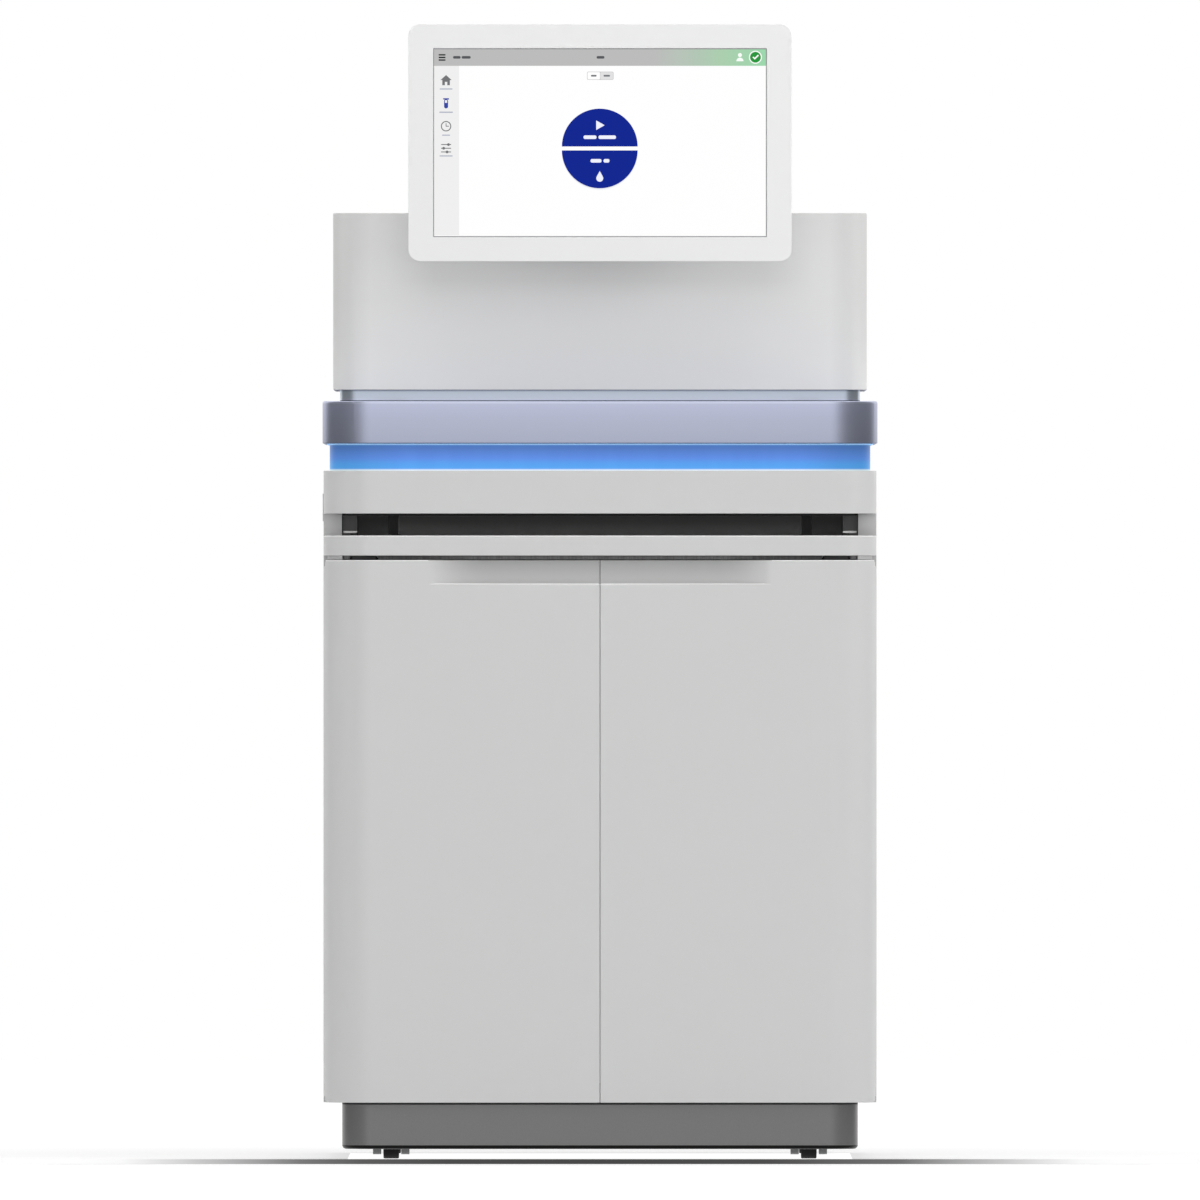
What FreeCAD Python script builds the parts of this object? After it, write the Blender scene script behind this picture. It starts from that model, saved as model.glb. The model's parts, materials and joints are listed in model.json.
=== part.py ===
"""A floor-standing DNA sequencer: cabinet on casters, pair of doors, keyboard tray,
light band, flow cell lid, optics hood and tilting touch screen."""

import FreeCAD, Part
import math
import os

Vector = FreeCAD.Vector

# Every length is in millimetres. The front faces -Y, the floor is z = 0, and the
# origin is the middle of the footprint.

# Heights of the layers, from the floor up
skirt_ground_gap = 14.5
skirt_height = 65.5
door_bottom_gap = 2.0
door_height = 786.5
tray_gap = 6.5
tray_front_height = 29.0
slot_height = 32.0
fascia_height = 62.0
light_height = 38.0
belt_gap = 2.0
belt_height = 61.0
neck_height = 17.0
hood_height = 257.0
screen_overlap = 71.0
screen_height = 344.0

# Plan of the cabinet
cabinet_width = 802.0
cabinet_depth = 942.0
corner_radius = 70.0
rear_radius = 12.0
belt_proud = 1.5
light_inset = 9.0
skirt_inset = 27.0
wrap_depth = 70.0
hood_side_inset = 13.0
hood_setback = 214.0
hood_rear_inset = 13.0
hood_radius = 34.0
neck_inset = 10.0

# Sheets and walls
sheet = 3.0
skin = 4.0
door_thickness = 22.0
skirt_wall = 8.0
skirt_round = 6.0
belt_wall = 6.0
light_wall = 6.0
deck_thickness = 8.0

# Clearances
seam = 1.6
touch = 0.3
running = 0.05
panel_gap = 4.0
nearly_zero = 1e-6

# Base and uprights
base_plate = 5.0
rib_height = 25.0
rib_width = 40.0
post_width = 25.0
post_depth = 30.0
rail_width = 24.0
rib_count = 4
post_setback = 2.0
board_gap = 2.0

# Doors and their hinges
pivot_radius = 10.0
hinge_pin_radius = 4.0
hinge_pin_length = 20.0
hinge_pin_end_gap = 2.0
hinge_arm = 5.0
hinge_arm_half = 8.0
hinge_notch = 9.0
grip_half_width = 249.0
grip_run = 85.0
grip_depth = 13.0
grip_height = 35.0
liner_sheet = 4.0
liner_rib_depth = 1.5
liner_rib_height = 94.0
liner_rib_wide = 125.0
liner_rib_narrow = 40.0
liner_rib_low = 236.0
liner_rib_high = 488.0
catch_from_side = 40.0
catch_width = 38.0
catch_depth = 9.0
catch_drop = 12.0

# Keyboard tray
tray_front_wall = 14.0
tray_depth = 327.0
tray_floor = 4.0
tray_lift = 5.0
tray_end_gap = 5.0
tray_rib_gap = 1.5
tray_rim = 20.0
tray_rim_wall = 6.0
slide_width = 10.0
slide_bar_height = 31.0
slide_length = 387.0
bay_rib_from_centre = 292.0
bay_rib_width = 15.0

# Liquids bays and their drawers
bay_depth = 465.0
bay_front_gap = 34.0
bay_side_gap = 3.0
divider = 6.0
bay_shelf_height = 375.0
tube_slot_lip = 4.0
drawer_front_gap = 40.0
drawer_hinge_gap = 100.0
drawer_centre_gap = 14.0
drawer_front = 12.0
drawer_rear_gap = 24.0
drawer_wall = 6.0
chiller_tub_height = 200.0
buffer_tub_height = 260.0
grip_slot = 120.0
bottle_setback = 10.0
bottle_round = 12.0
bottle_width = 62.0
bottle_depth = 120.0
bottle_height = 230.0
bottle_cap_radius = 20.0
bottle_cap_height = 24.0
pump_count = 3
pump_from_centre = 40.0
pump_spacing = 90.0
pump_width = 70.0
pump_depth = 90.0
pump_height = 160.0
pump_lift = 40.0
pump_barrel_radius = 14.0
pump_barrel_height = 70.0

# Flow cell deck, stage and lid
lid_panel_thickness = 10.0
lid_hinge_radius = 5.0
lid_pin_radius = 2.5
lid_knuckle = 40.0
lid_knuckle_from_centre = 300.0
lid_hinge_gap = 7.0
lid_rear_gap = 2.0
lid_stand_half = 4.0
lid_pin_end_gap = 5.0
belt_round = 3.0
belt_split_gap = 5.0
belt_ledge = 40.0
belt_foot = 20.0
belt_foot_inset = 12.0
belt_foot_setback = 30.0
stage_rail_from_centre = 100.0
stage_rail_width = 20.0
stage_rail_height = 12.0
stage_rail_length = 480.0
stage_rail_setback = 30.0
stage_setback = 10.0
stage_width = 300.0
stage_depth = 140.0
stage_thickness = 14.0
flow_cell_width = 76.0
flow_cell_depth = 112.0
flow_cell_recess = 5.0
flow_cell_setback = 14.0

# Optics under the hood
bench_width = 600.0
bench_depth = 500.0
bench_thickness = 30.0
bench_gap = 11.0
bench_forward = 30.0
isolator_radius = 22.0
isolator_inset = 50.0
objective_radius = 22.0
objective_gap = 6.0
objective_nose_radius = 13.2
objective_nose_length = 18.0
objective_setback = 90.0
camera_width = 120.0
camera_depth = 220.0
camera_height = 90.0
camera_forward = 60.0
camera_snout_radius = 30.0
camera_snout_length = 60.0
laser_width = 150.0
laser_depth = 380.0
laser_height = 60.0
laser_gap = 40.0
laser_setback = 60.0
laser_snout_radius = 10.0
laser_snout_length = 20.0
neck_wall = 14.0
hood_vent_lift = 60.0
hood_vent_count = 10

# Touch screen
screen_width = 556.0
screen_radius = 17.0
screen_gap = 93.0
bezel_depth = 12.0
glass_width = 484.0
glass_height = 274.0
glass_recess = 1.5
glass_thickness = 6.0
glass_lap = 3.0
back_depth = 32.0
back_inset = 3.0
tilt_pin_radius = 5.0
tilt_knuckle_radius = 14.0
tilt_arm = 28.0
tilt_from_middle = 34.0
bracket_width = 60.0
bracket_plate = 8.0
bracket_plate_depth = 120.0
bracket_plate_half = 39.0
bracket_column = 18.0
bracket_column_gap = 8.0
ear_width = 10.0

# Casters
wheel_radius = 25.0
wheel_width = 23.0
cheek_radius = 19.0
cheek_width = 12.0
cheek_gap = 3.0
caster_from_side = 71.0
caster_from_front = 75.0
caster_trail = 18.0
caster_plate = 5.0
caster_plate_half_width = 45.0
caster_plate_half_depth = 35.0
caster_race = 10.0
caster_race_radius = 24.0
caster_crown = 8.0
caster_pin_radius = 7.0
axle_radius = 5.0
tread_round = 3.0

# Services at the rear
fan_size = 120.0
fan_depth = 38.0
fan_bore = 56.0
fan_hub = 20.0
fan_from_centre = 170.0
fan_height = 820.0
fan_blades = 7
fan_shaft_radius = 4.0
fan_stator = 5.0
fan_strut = 6.0
fan_strut_depth = 4.0
fan_end_gap = 2.0
blade_chord = 21.0
blade_thickness = 2.4
blade_pitch_angle = 35.0
blade_tip_gap = 2.0
guard_slots = 4
vent_width = 220.0
vent_slot = 6.0
vent_pitch = 14.0
vent_count = 14
vent_bottom = 420.0
screw_radius = 4.0
screw_slot_width = 1.2
screw_slot_length = 6.0
screw_slot_depth = 0.9
screw_count = 5
screw_inset = 14.0
screw_end_gap = 40.0
module_gap = 40.0
module_from_centre = 20.0
module_width = 320.0
supply_height = 180.0
computer_height = 250.0
inlet_from_side = 171.0
inlet_z = 170.0
inlet_width = 60.0
inlet_height = 80.0
inlet_body_depth = 30.0
socket_width = 30.0
socket_height = 26.0
socket_depth = 20.0
socket_drop = 28.0
socket_pin_pitch = 8.0
socket_pin_width = 2.0
socket_pin_height = 8.0
socket_pin_setback = 4.0
rocker_width = 24.0
rocker_height = 22.0
rocker_depth = 3.0
rocker_lift = 8.0
rear_ports_from_side = 171.0
rear_ports_z = 200.0
rear_ports_width = 160.0
rear_ports_height = 60.0
rear_ports_body_depth = 16.0
rear_port_count = 5
rear_port_width = 16.0
rear_port_height = 14.0
rear_port_depth = 12.0
port_lip = 4.0

# Power button and data ports on the left side
port_from_front = 131.0
port_length = 100.0
port_height = 40.0
port_bottom = 925.0
port_block = 21.0
button_radius = 9.0
button_travel = 2.5
button_floor = 2.0
side_port_width = 13.0
side_port_height = 6.0
side_port_depth = 14.0
side_port_offsets = (60.0, 85.0)
button_offset = 20.0

# Levels worked out from the layers
skirt_top = skirt_ground_gap + skirt_height
plate_top = skirt_top + base_plate
rib_top = plate_top + rib_height
door_bottom = skirt_top + door_bottom_gap
door_top = door_bottom + door_height
tray_bottom = door_top + tray_gap
tray_top = tray_bottom + tray_front_height
fascia_bottom = tray_top + slot_height
fascia_top = fascia_bottom + fascia_height
light_top = fascia_top + light_height
belt_bottom = light_top + belt_gap
belt_top = belt_bottom + belt_height
hood_bottom = belt_top + neck_height
hood_top = hood_bottom + hood_height
screen_bottom = hood_top - screen_overlap
screen_middle = screen_bottom + screen_height / 2

# Planes worked out from the plan
side = cabinet_width / 2
front = -cabinet_depth / 2
port_front = front + port_from_front
inlet_x = side - inlet_from_side
rear_ports_x = -side + rear_ports_from_side
rear = cabinet_depth / 2
panel_front = front + wrap_depth + panel_gap
post_front = panel_front + sheet + post_setback
post_outer = side - sheet
post_inner = post_outer - post_width
door_back = front + door_thickness
pivot_x = side - pivot_radius
pivot_y = front + wrap_depth - pivot_radius
flange_width = skirt_inset - touch
catch_front = front + wrap_depth + touch - math.sqrt(
    (corner_radius - door_thickness) ** 2 - (corner_radius - catch_from_side) ** 2)
catch_back = catch_front + catch_depth
hood_front = front + hood_setback
hood_rear = rear - hood_rear_inset
hood_side = side - hood_side_inset
bay_front = door_back + bay_front_gap
bay_top = door_top - hinge_notch - panel_gap
deck_bottom = light_top - deck_thickness
hinge_y = hood_front - lid_hinge_gap
hinge_z = belt_top - lid_hinge_radius
belt_split = hinge_y + belt_split_gap
floor_top = tray_bottom - sheet
roof_bottom = fascia_bottom - touch - sheet
drawer_face = door_back + drawer_front_gap
drawer_depth = bay_front + bay_depth - sheet - drawer_rear_gap - drawer_face - drawer_front


def box(x0, x1, y0, y1, z0, z1):
    return Part.makeBox(x1 - x0, y1 - y0, z1 - z0, Vector(x0, y0, z0))


def rod(radius, start, end):
    axis = end.sub(start)
    return Part.makeCylinder(radius, axis.Length, start, axis)


def upright(edge, y):
    ends = [vertex.Point for vertex in edge.Vertexes]
    same_place = abs(ends[0].x - ends[-1].x) + abs(ends[0].y - ends[-1].y) < nearly_zero
    return len(ends) == 2 and same_place and abs(ends[0].y - y) < nearly_zero


def rounded_block(half_width, y0, y1, z0, z1, front_round, rear_round):
    """A block with its upright edges rounded, seen from above."""
    block = box(-half_width, half_width, y0, y1, z0, z1)
    for y, radius in ((y0, front_round), (y1, rear_round)):
        if radius > 0:
            block = block.makeFillet(radius, [e for e in block.Edges if upright(e, y)])
    return block


def shell_block(inset, z0, z1):
    """The cabinet's full plan, moved in by an inset."""
    rear_round = max(rear_radius - inset, 1.0)
    return rounded_block(side - inset, front + inset, rear - inset, z0, z1,
                         corner_radius - inset, rear_round)


def wrap(inset, thickness, z0, z1):
    """A band round the front and both front corners, ending where the side panels start."""
    ring = shell_block(inset, z0, z1).cut(shell_block(inset + thickness, z0, z1))
    return ring.common(box(-side, side, front, front + wrap_depth, z0, z1))


def mirrored(shape):
    return shape.mirror(Vector(0, 0, 0), Vector(1, 0, 0))


def sided(shape, direction):
    """The piece is drawn for the left side, direction -1, and mirrored for the right."""
    return shape if direction < 0 else mirrored(shape)


def save(name, *solids):
    shape = solids[0] if len(solids) == 1 else Part.makeCompound(list(solids))
    shape.exportStep(os.path.join("parts", name + ".step"))


def fuse(first, *others):
    return first.fuse(list(others)).removeSplitter()


def build_base():
    half = side - skirt_inset
    edge = front + skirt_inset
    inner_round = corner_radius - skirt_inset
    plate = rounded_block(half, edge, -edge, skirt_top, plate_top, inner_round, inner_round)
    sills = []
    for x in (-post_outer, post_outer - rib_width - post_width):
        sills.append(box(x, x + rib_width + post_width, post_front, rear - 2 * sheet, plate_top, rib_top))
    ribs = []
    inner = post_outer - rib_width - post_width
    span = rear - 2 * sheet - rib_width - post_front
    for step in range(rib_count):
        y = post_front + span * step / (rib_count - 1)
        ribs.append(box(-inner, inner, y, y + rib_width, plate_top, rib_top))
    save("base_frame", fuse(plate, *sills, *ribs))
    outer = rounded_block(half, edge, -edge, skirt_ground_gap, skirt_top, inner_round, inner_round)
    lower = [e for e in outer.Edges if e.BoundBox.ZMax < skirt_ground_gap + nearly_zero]
    outer = outer.makeFillet(skirt_round, lower)
    hollow = rounded_block(half - skirt_wall, edge + skirt_wall, -edge - skirt_wall,
                           skirt_ground_gap, skirt_top, inner_round - skirt_wall,
                           inner_round - skirt_wall)
    save("plinth_skirt", outer.cut(hollow))


def build_uprights():
    members = []
    rear_post = rear - 2 * sheet - post_depth
    for x in (-post_outer, post_inner):
        for y in (post_front, rear_post):
            members.append(box(x, x + post_width, y, y + post_depth, rib_top, fascia_top))
    rail_outer = side - light_inset - light_wall - 2 * touch - sheet
    rail_rear = rear - light_inset - light_wall - 2 * touch - sheet
    for x in (-rail_outer, rail_outer - rail_width):
        members.append(box(x, x + rail_width, post_front, rail_rear, fascia_top, deck_bottom))
    inner = rail_outer - rail_width
    members.append(box(-inner, inner, rail_rear - rail_width, rail_rear, fascia_top, deck_bottom))
    members.append(box(-inner, inner, post_front, post_front + rail_width, fascia_top, deck_bottom))
    half = side - corner_radius
    members.append(box(-half, half, -rail_rear, -rail_rear + rail_width, fascia_top, deck_bottom))
    save("upright_frame", *members)
    low = fascia_top + board_gap
    high = deck_bottom - board_gap
    boards = []
    for x in (-rail_outer - sheet, rail_outer):
        boards.append(box(x, x + sheet, post_front, rail_rear, low, high))
    boards.append(box(-half, half, -rail_rear - sheet, -rail_rear, low, high))
    boards.append(box(-inner, inner, rail_rear, rail_rear + sheet, low, high))
    save("status_light_board", *boards)


def build_side_panels():
    for name, direction in (("side_panel_left", -1), ("side_panel_right", 1)):
        skin_sheet = box(-side, -side + sheet, panel_front, rear, door_bottom, fascia_top)
        front_flange = box(-side + sheet, -side + flange_width, panel_front, panel_front + sheet,
                           door_bottom, fascia_top)
        rear_flange = box(-side + sheet, -side + flange_width, rear - 2 * sheet, rear - sheet,
                          door_bottom, fascia_top)
        panel = fuse(skin_sheet, front_flange, rear_flange)
        if direction < 0:
            panel = panel.cut(box(-side - 1, -side + sheet + 1, port_front + port_lip,
                                  port_front + port_length - port_lip, port_bottom + port_lip,
                                  port_bottom + port_height - port_lip))
        save(name, sided(panel, direction))
    build_side_ports()


def build_side_ports():
    plate = box(-side - belt_proud, -side, port_front, port_front + port_length,
                port_bottom, port_bottom + port_height)
    block = box(-side, -side + port_block, port_front + port_lip, port_front + port_length - port_lip,
                port_bottom + port_lip, port_bottom + port_height - port_lip)
    middle = port_bottom + port_height / 2
    button_y = port_front + button_offset
    outside = -side - belt_proud
    bore_end = -side + port_block - button_floor
    bore = rod(button_radius + running, Vector(outside, button_y, middle),
               Vector(bore_end, button_y, middle))
    ports = fuse(plate, block).cut(bore)
    for offset in side_port_offsets:
        y = port_front + offset
        ports = ports.cut(box(outside, outside + side_port_depth, y - side_port_width / 2,
                              y + side_port_width / 2, middle - side_port_height / 2,
                              middle + side_port_height / 2))
    save("side_port_plate", ports)
    save("power_button", rod(button_radius, Vector(outside + touch, button_y, middle),
                             Vector(bore_end - button_travel - touch, button_y, middle)))


def louvres(width, x, z, count, y0, y1):
    slots = []
    for step in range(count):
        z0 = z + step * vent_pitch
        slots.append(box(x - width / 2, x + width / 2, y0, y1, z0, z0 + vent_slot))
    return slots


def build_rear():
    panel = box(-post_outer, post_outer, rear - sheet, rear, door_bottom, fascia_top)
    cuts = []
    for direction in (-1, 1):
        x = direction * fan_from_centre
        for step in range(-guard_slots, guard_slots + 1):
            dz = step * fan_bore / (guard_slots + 1)
            reach = math.sqrt(fan_bore ** 2 - dz ** 2) - vent_slot / 2
            cuts.append(box(x - reach, x + reach, rear - sheet, rear,
                            fan_height + dz - vent_slot / 2, fan_height + dz + vent_slot / 2))
        cuts += louvres(vent_width, x, vent_bottom, vent_count, rear - sheet, rear)
    lap = port_lip
    cuts.append(box(inlet_x - inlet_width / 2 + lap, inlet_x + inlet_width / 2 - lap, rear - sheet, rear,
                    inlet_z - inlet_height / 2 + lap, inlet_z + inlet_height / 2 - lap))
    cuts.append(box(rear_ports_x - rear_ports_width / 2 + lap, rear_ports_x + rear_ports_width / 2 - lap,
                    rear - sheet, rear, rear_ports_z - rear_ports_height / 2 + lap,
                    rear_ports_z + rear_ports_height / 2 - lap))
    save("rear_panel", panel.cut(cuts))
    build_inlet(lap)
    build_rear_ports(lap)
    build_screws()


def build_inlet(lap):
    face = box(inlet_x - inlet_width / 2, inlet_x + inlet_width / 2, rear, rear + belt_proud,
               inlet_z - inlet_height / 2, inlet_z + inlet_height / 2)
    body = box(inlet_x - inlet_width / 2 + lap, inlet_x + inlet_width / 2 - lap,
               rear - inlet_body_depth, rear,
               inlet_z - inlet_height / 2 + lap, inlet_z + inlet_height / 2 - lap)
    well_z = inlet_z - socket_drop
    well = box(inlet_x - socket_width / 2, inlet_x + socket_width / 2, rear - socket_depth,
               rear + belt_proud, well_z, well_z + socket_height)
    rocker = box(inlet_x - rocker_width / 2, inlet_x + rocker_width / 2, rear - rocker_depth,
                 rear + belt_proud, inlet_z + rocker_lift, inlet_z + rocker_lift + rocker_height)
    pins = []
    for step in (-1, 0, 1):
        x = inlet_x + step * socket_pin_pitch
        z = well_z + (socket_height - socket_pin_height) / 2
        pins.append(box(x - socket_pin_width / 2, x + socket_pin_width / 2, rear - socket_depth,
                        rear - socket_pin_setback, z, z + socket_pin_height))
    save("mains_inlet", fuse(face, body).cut(well).cut(rocker).fuse(pins))


def build_rear_ports(lap):
    face = box(rear_ports_x - rear_ports_width / 2, rear_ports_x + rear_ports_width / 2, rear,
               rear + belt_proud, rear_ports_z - rear_ports_height / 2,
               rear_ports_z + rear_ports_height / 2)
    body = box(rear_ports_x - rear_ports_width / 2 + lap, rear_ports_x + rear_ports_width / 2 - lap,
               rear - rear_ports_body_depth, rear, rear_ports_z - rear_ports_height / 2 + lap,
               rear_ports_z + rear_ports_height / 2 - lap)
    ports = fuse(face, body)
    for step in range(rear_port_count):
        x = rear_ports_x - rear_ports_width / 2 + rear_ports_width * (step + 1) / (rear_port_count + 1)
        ports = ports.cut(box(x - rear_port_width / 2, x + rear_port_width / 2, rear - rear_port_depth,
                              rear + belt_proud, rear_ports_z - rear_port_height / 2,
                              rear_ports_z + rear_port_height / 2))
    save("io_port_plate", ports)


def build_screws():
    screws = []
    low = door_bottom + screw_end_gap
    span = fascia_top - screw_end_gap - low
    for x in (-post_outer + screw_inset, post_outer - screw_inset):
        for step in range(screw_count):
            z = low + span * step / (screw_count - 1)
            head = rod(screw_radius, Vector(x, rear, z), Vector(x, rear + belt_proud, z))
            slot = box(x - screw_slot_length / 2, x + screw_slot_length / 2,
                       rear + belt_proud - screw_slot_depth, rear + belt_proud,
                       z - screw_slot_width / 2, z + screw_slot_width / 2)
            screws.append(head.cut(slot))
    save("panel_screws", *screws)


def door_plan():
    """The left door as one solid: it wraps the corner and ends at the hinge stile."""
    band = wrap(0, door_thickness, door_bottom, door_top)
    door = band.common(box(-side, -seam / 2, front, front + wrap_depth, door_bottom, door_top))
    corner = [e for e in door.Edges if upright(e, front + wrap_depth) and e.BoundBox.XMax < -side + 1]
    return door.makeFillet(pivot_radius - touch, corner)


def grip_tool(depth_extra, z0, z1):
    """The scooped finger grip: deep in the middle and running out in an arc at each end."""
    depth = grip_depth + depth_extra
    radius = (grip_run ** 2 + grip_depth ** 2) / (2 * grip_depth)
    flat = grip_half_width - grip_run
    back = front + depth
    bulge = radius - math.sqrt(radius ** 2 - (grip_run / 2) ** 2)
    left_out = Vector(-grip_half_width - depth_extra, front + depth_extra, z0)
    left_mid = Vector(-flat - grip_run / 2 - depth_extra / 2, back - bulge, z0)
    left_in = Vector(-flat, back, z0)
    right_in = Vector(flat, back, z0)
    right_mid = Vector(-left_mid.x, left_mid.y, z0)
    right_out = Vector(-left_out.x, left_out.y, z0)
    ahead = front - grip_depth
    outline = [
        Part.Arc(left_out, left_mid, left_in).toShape(),
        Part.LineSegment(left_in, right_in).toShape(),
        Part.Arc(right_in, right_mid, right_out).toShape(),
        Part.LineSegment(right_out, Vector(right_out.x, ahead, z0)).toShape(),
        Part.LineSegment(Vector(right_out.x, ahead, z0), Vector(left_out.x, ahead, z0)).toShape(),
        Part.LineSegment(Vector(left_out.x, ahead, z0), left_out).toShape(),
    ]
    return Part.Face(Part.Wire(outline)).extrude(Vector(0, 0, z1 - z0))


def build_doors():
    grip_bottom = door_top - grip_height
    door = door_plan()
    stile = front + wrap_depth - 2 * pivot_radius - skin
    cavity = wrap(skin, door_thickness, door_bottom + skin, door_top - skin)
    cavity = cavity.common(box(-side, -seam / 2 - skin, front, stile, door_bottom, door_top))
    cavity = cavity.cut(grip_tool(skin, grip_bottom - skin, door_top))
    door = door.cut(cavity).cut(grip_tool(0, grip_bottom, door_top + 1))
    pivot = Vector(-pivot_x, pivot_y, 0)
    hole = hinge_pin_radius + running
    low = door_bottom + hinge_notch - touch
    high = door_top - hinge_notch + touch
    depth = hinge_pin_length + hinge_pin_end_gap
    bores = [
        rod(hole, pivot + Vector(0, 0, low), pivot + Vector(0, 0, low + depth)),
        rod(hole, pivot + Vector(0, 0, high - depth), pivot + Vector(0, 0, high)),
        box(-side, -post_inner, pivot_y - pivot_radius + 1, front + wrap_depth, door_bottom, low),
        box(-side, -post_inner, pivot_y - pivot_radius + 1, front + wrap_depth, high, door_top),
    ]
    door = door.cut(bores)
    lap = skin + touch
    liner = box(-side + corner_radius, -seam / 2 - lap, door_back - liner_sheet, door_back,
                door_bottom + lap, door_top - lap)
    middle = (-side + corner_radius - seam / 2 - lap) / 2
    for half_width, low_z in ((liner_rib_wide, liner_rib_low), (liner_rib_narrow, liner_rib_high)):
        z = door_bottom + low_z
        liner = liner.cut(box(middle - half_width, middle + half_width, door_back - liner_rib_depth,
                              door_back, z, z + liner_rib_height))
    for name, direction in (("left", -1), ("right", 1)):
        save(name + "_door", sided(door, direction))
        save(name + "_door_liner", sided(liner, direction))
    build_hinges()


def build_hinges():
    brackets = []
    catches = []
    for direction in (-1, 1):
        low = door_bottom + hinge_notch - 2 * touch
        reach = -post_inner + post_width
        arm_bottom = low - hinge_arm
        arm = box(-pivot_x, reach, pivot_y - hinge_arm_half, pivot_y + hinge_arm_half, arm_bottom, low)
        end = rod(hinge_arm_half, Vector(-pivot_x, pivot_y, arm_bottom), Vector(-pivot_x, pivot_y, low))
        pin = rod(hinge_pin_radius, Vector(-pivot_x, pivot_y, low),
                  Vector(-pivot_x, pivot_y, low + hinge_pin_length))
        foot = box(-post_inner, reach, pivot_y - hinge_arm_half, post_front, plate_top, low)
        brackets.append(sided(fuse(arm, end, pin, foot), direction))
        high = door_top - hinge_notch + 2 * touch
        top = high + hinge_arm
        arm = box(-pivot_x, reach, pivot_y - hinge_arm_half, pivot_y + hinge_arm_half, high, top)
        end = rod(hinge_arm_half, Vector(-pivot_x, pivot_y, high), Vector(-pivot_x, pivot_y, top))
        pin = rod(hinge_pin_radius, Vector(-pivot_x, pivot_y, high - hinge_pin_length),
                  Vector(-pivot_x, pivot_y, high))
        leg = box(-post_inner, reach, pivot_y - hinge_arm_half, post_front + post_depth, high, top)
        brackets.append(sided(fuse(arm, end, pin, leg), direction))
        x0 = -side + catch_from_side
        block = box(x0, x0 + catch_width, catch_front, catch_back, door_top - catch_drop, tray_bottom - 1)
        catches.append(sided(block, direction))
    save("door_hinge_brackets", *brackets)
    save("door_catches", *catches)


def build_fascia():
    band = wrap(0, door_thickness, fascia_bottom, fascia_top)
    channel = wrap(skin, door_thickness, fascia_bottom + skin, fascia_top - skin)
    save("front_fascia", band.cut(channel))


def build_tray():
    save("tray_front", wrap(0, tray_front_wall, tray_bottom, tray_top))
    bar_outer = post_inner - slide_width - 2 * touch
    bar_inner = bar_outer - slide_width
    y0 = front + tray_front_wall
    base = tray_bottom + tray_lift
    floor = box(-bar_outer, bar_outer, y0 + corner_radius, y0 + tray_depth, base, base + tray_floor)
    nose = box(-side + corner_radius, side - corner_radius, y0, y0 + corner_radius, base, base + tray_floor)
    half = side - corner_radius
    rim = box(-half, half, y0, y0 + tray_depth, base + tray_floor, base + tray_rim)
    well = box(-half + tray_rim_wall, half - tray_rim_wall, y0 + tray_rim_wall,
               y0 + tray_depth - tray_rim_wall, base + tray_floor, base + tray_rim)
    bars = [box(x, x + slide_width, y0 + corner_radius, y0 + slide_length, base, base + slide_bar_height)
            for x in (-bar_outer, bar_inner)]
    save("keyboard_tray", fuse(floor, nose, rim.cut(well), *bars))
    build_tray_bay(bar_inner, base)


def build_tray_bay(bar_inner, base):
    slide_end = front + tray_front_wall + slide_length + tray_end_gap
    roof = box(-post_inner, post_inner, door_back, slide_end + sheet, roof_bottom, roof_bottom + sheet)
    floor = box(-post_inner, post_inner, catch_back, slide_end + sheet, floor_top - sheet, floor_top)
    back = box(-post_inner, post_inner, slide_end, slide_end + sheet, floor_top, roof_bottom)
    rib_bottom = tray_top + tray_rib_gap
    ribs = [box(x, x + bay_rib_width, door_back + door_thickness, slide_end, rib_bottom, roof_bottom)
            for x in (-bay_rib_from_centre - bay_rib_width, bay_rib_from_centre)]
    save("tray_bay_liner", fuse(roof, floor, back, *ribs))
    slides = []
    for direction in (-1, 1):
        web = box(-post_inner, -post_inner + slide_width, post_front, slide_end, floor_top, roof_bottom)
        upper = box(-post_inner + slide_width, -bar_inner + touch, post_front, slide_end,
                    base + slide_bar_height + 2 * touch, roof_bottom)
        lower = box(-post_inner + slide_width, -bar_inner + touch, post_front, slide_end,
                    floor_top, base - touch)
        slides.append(sided(fuse(web, upper, lower), direction))
    save("tray_slides", *slides)


def build_bays():
    half = post_inner - bay_side_gap
    y1 = bay_front + bay_depth
    shelf = rib_top + sheet + bay_shelf_height
    outer = box(-half, half, bay_front, y1, rib_top, bay_top)
    liner = outer
    for x0, x1 in ((-half + sheet, -divider / 2), (divider / 2, half - sheet)):
        liner = liner.cut(box(x0, x1, bay_front, y1 - sheet, rib_top + sheet, shelf))
        liner = liner.cut(box(x0, x1, bay_front, y1 - sheet, shelf + skin, bay_top - sheet))
    outer_x = -pivot_x + drawer_hinge_gap
    tube_slot = box(-half + sheet + tube_slot_lip, outer_x - tube_slot_lip, y1 - sheet, y1,
                    shelf + skin, bay_top - sheet)
    save("bay_liner", liner.cut([tube_slot, mirrored(tube_slot)]))
    inner_x = -drawer_centre_gap
    chiller = drawer(outer_x, inner_x, shelf + skin + touch, bay_top - sheet - skin, chiller_tub_height)
    buffer = drawer(outer_x, inner_x, rib_top + sheet + touch, shelf - skin, buffer_tub_height)
    bottle = reagent_bottle(-half + sheet + 1, rib_top + sheet)
    for name, direction in (("left", -1), ("right", 1)):
        save("chiller_drawer_" + name, sided(chiller, direction))
        save("buffer_drawer_" + name, sided(buffer, direction))
        save("used_reagent_bottle_" + name, sided(bottle, direction))
    pumps = []
    low = shelf + pump_lift
    high = low + pump_height
    for step in range(pump_count):
        x = pump_from_centre + pump_spacing * step
        body = box(x, x + pump_width, y1, y1 + pump_depth, low, high)
        seat = Vector(x + pump_width / 2, y1 + pump_depth / 2, high)
        barrel = rod(pump_barrel_radius, seat, seat + Vector(0, 0, pump_barrel_height))
        pumps.append(fuse(body, barrel))
    save("pump_modules", *pumps)


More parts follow.
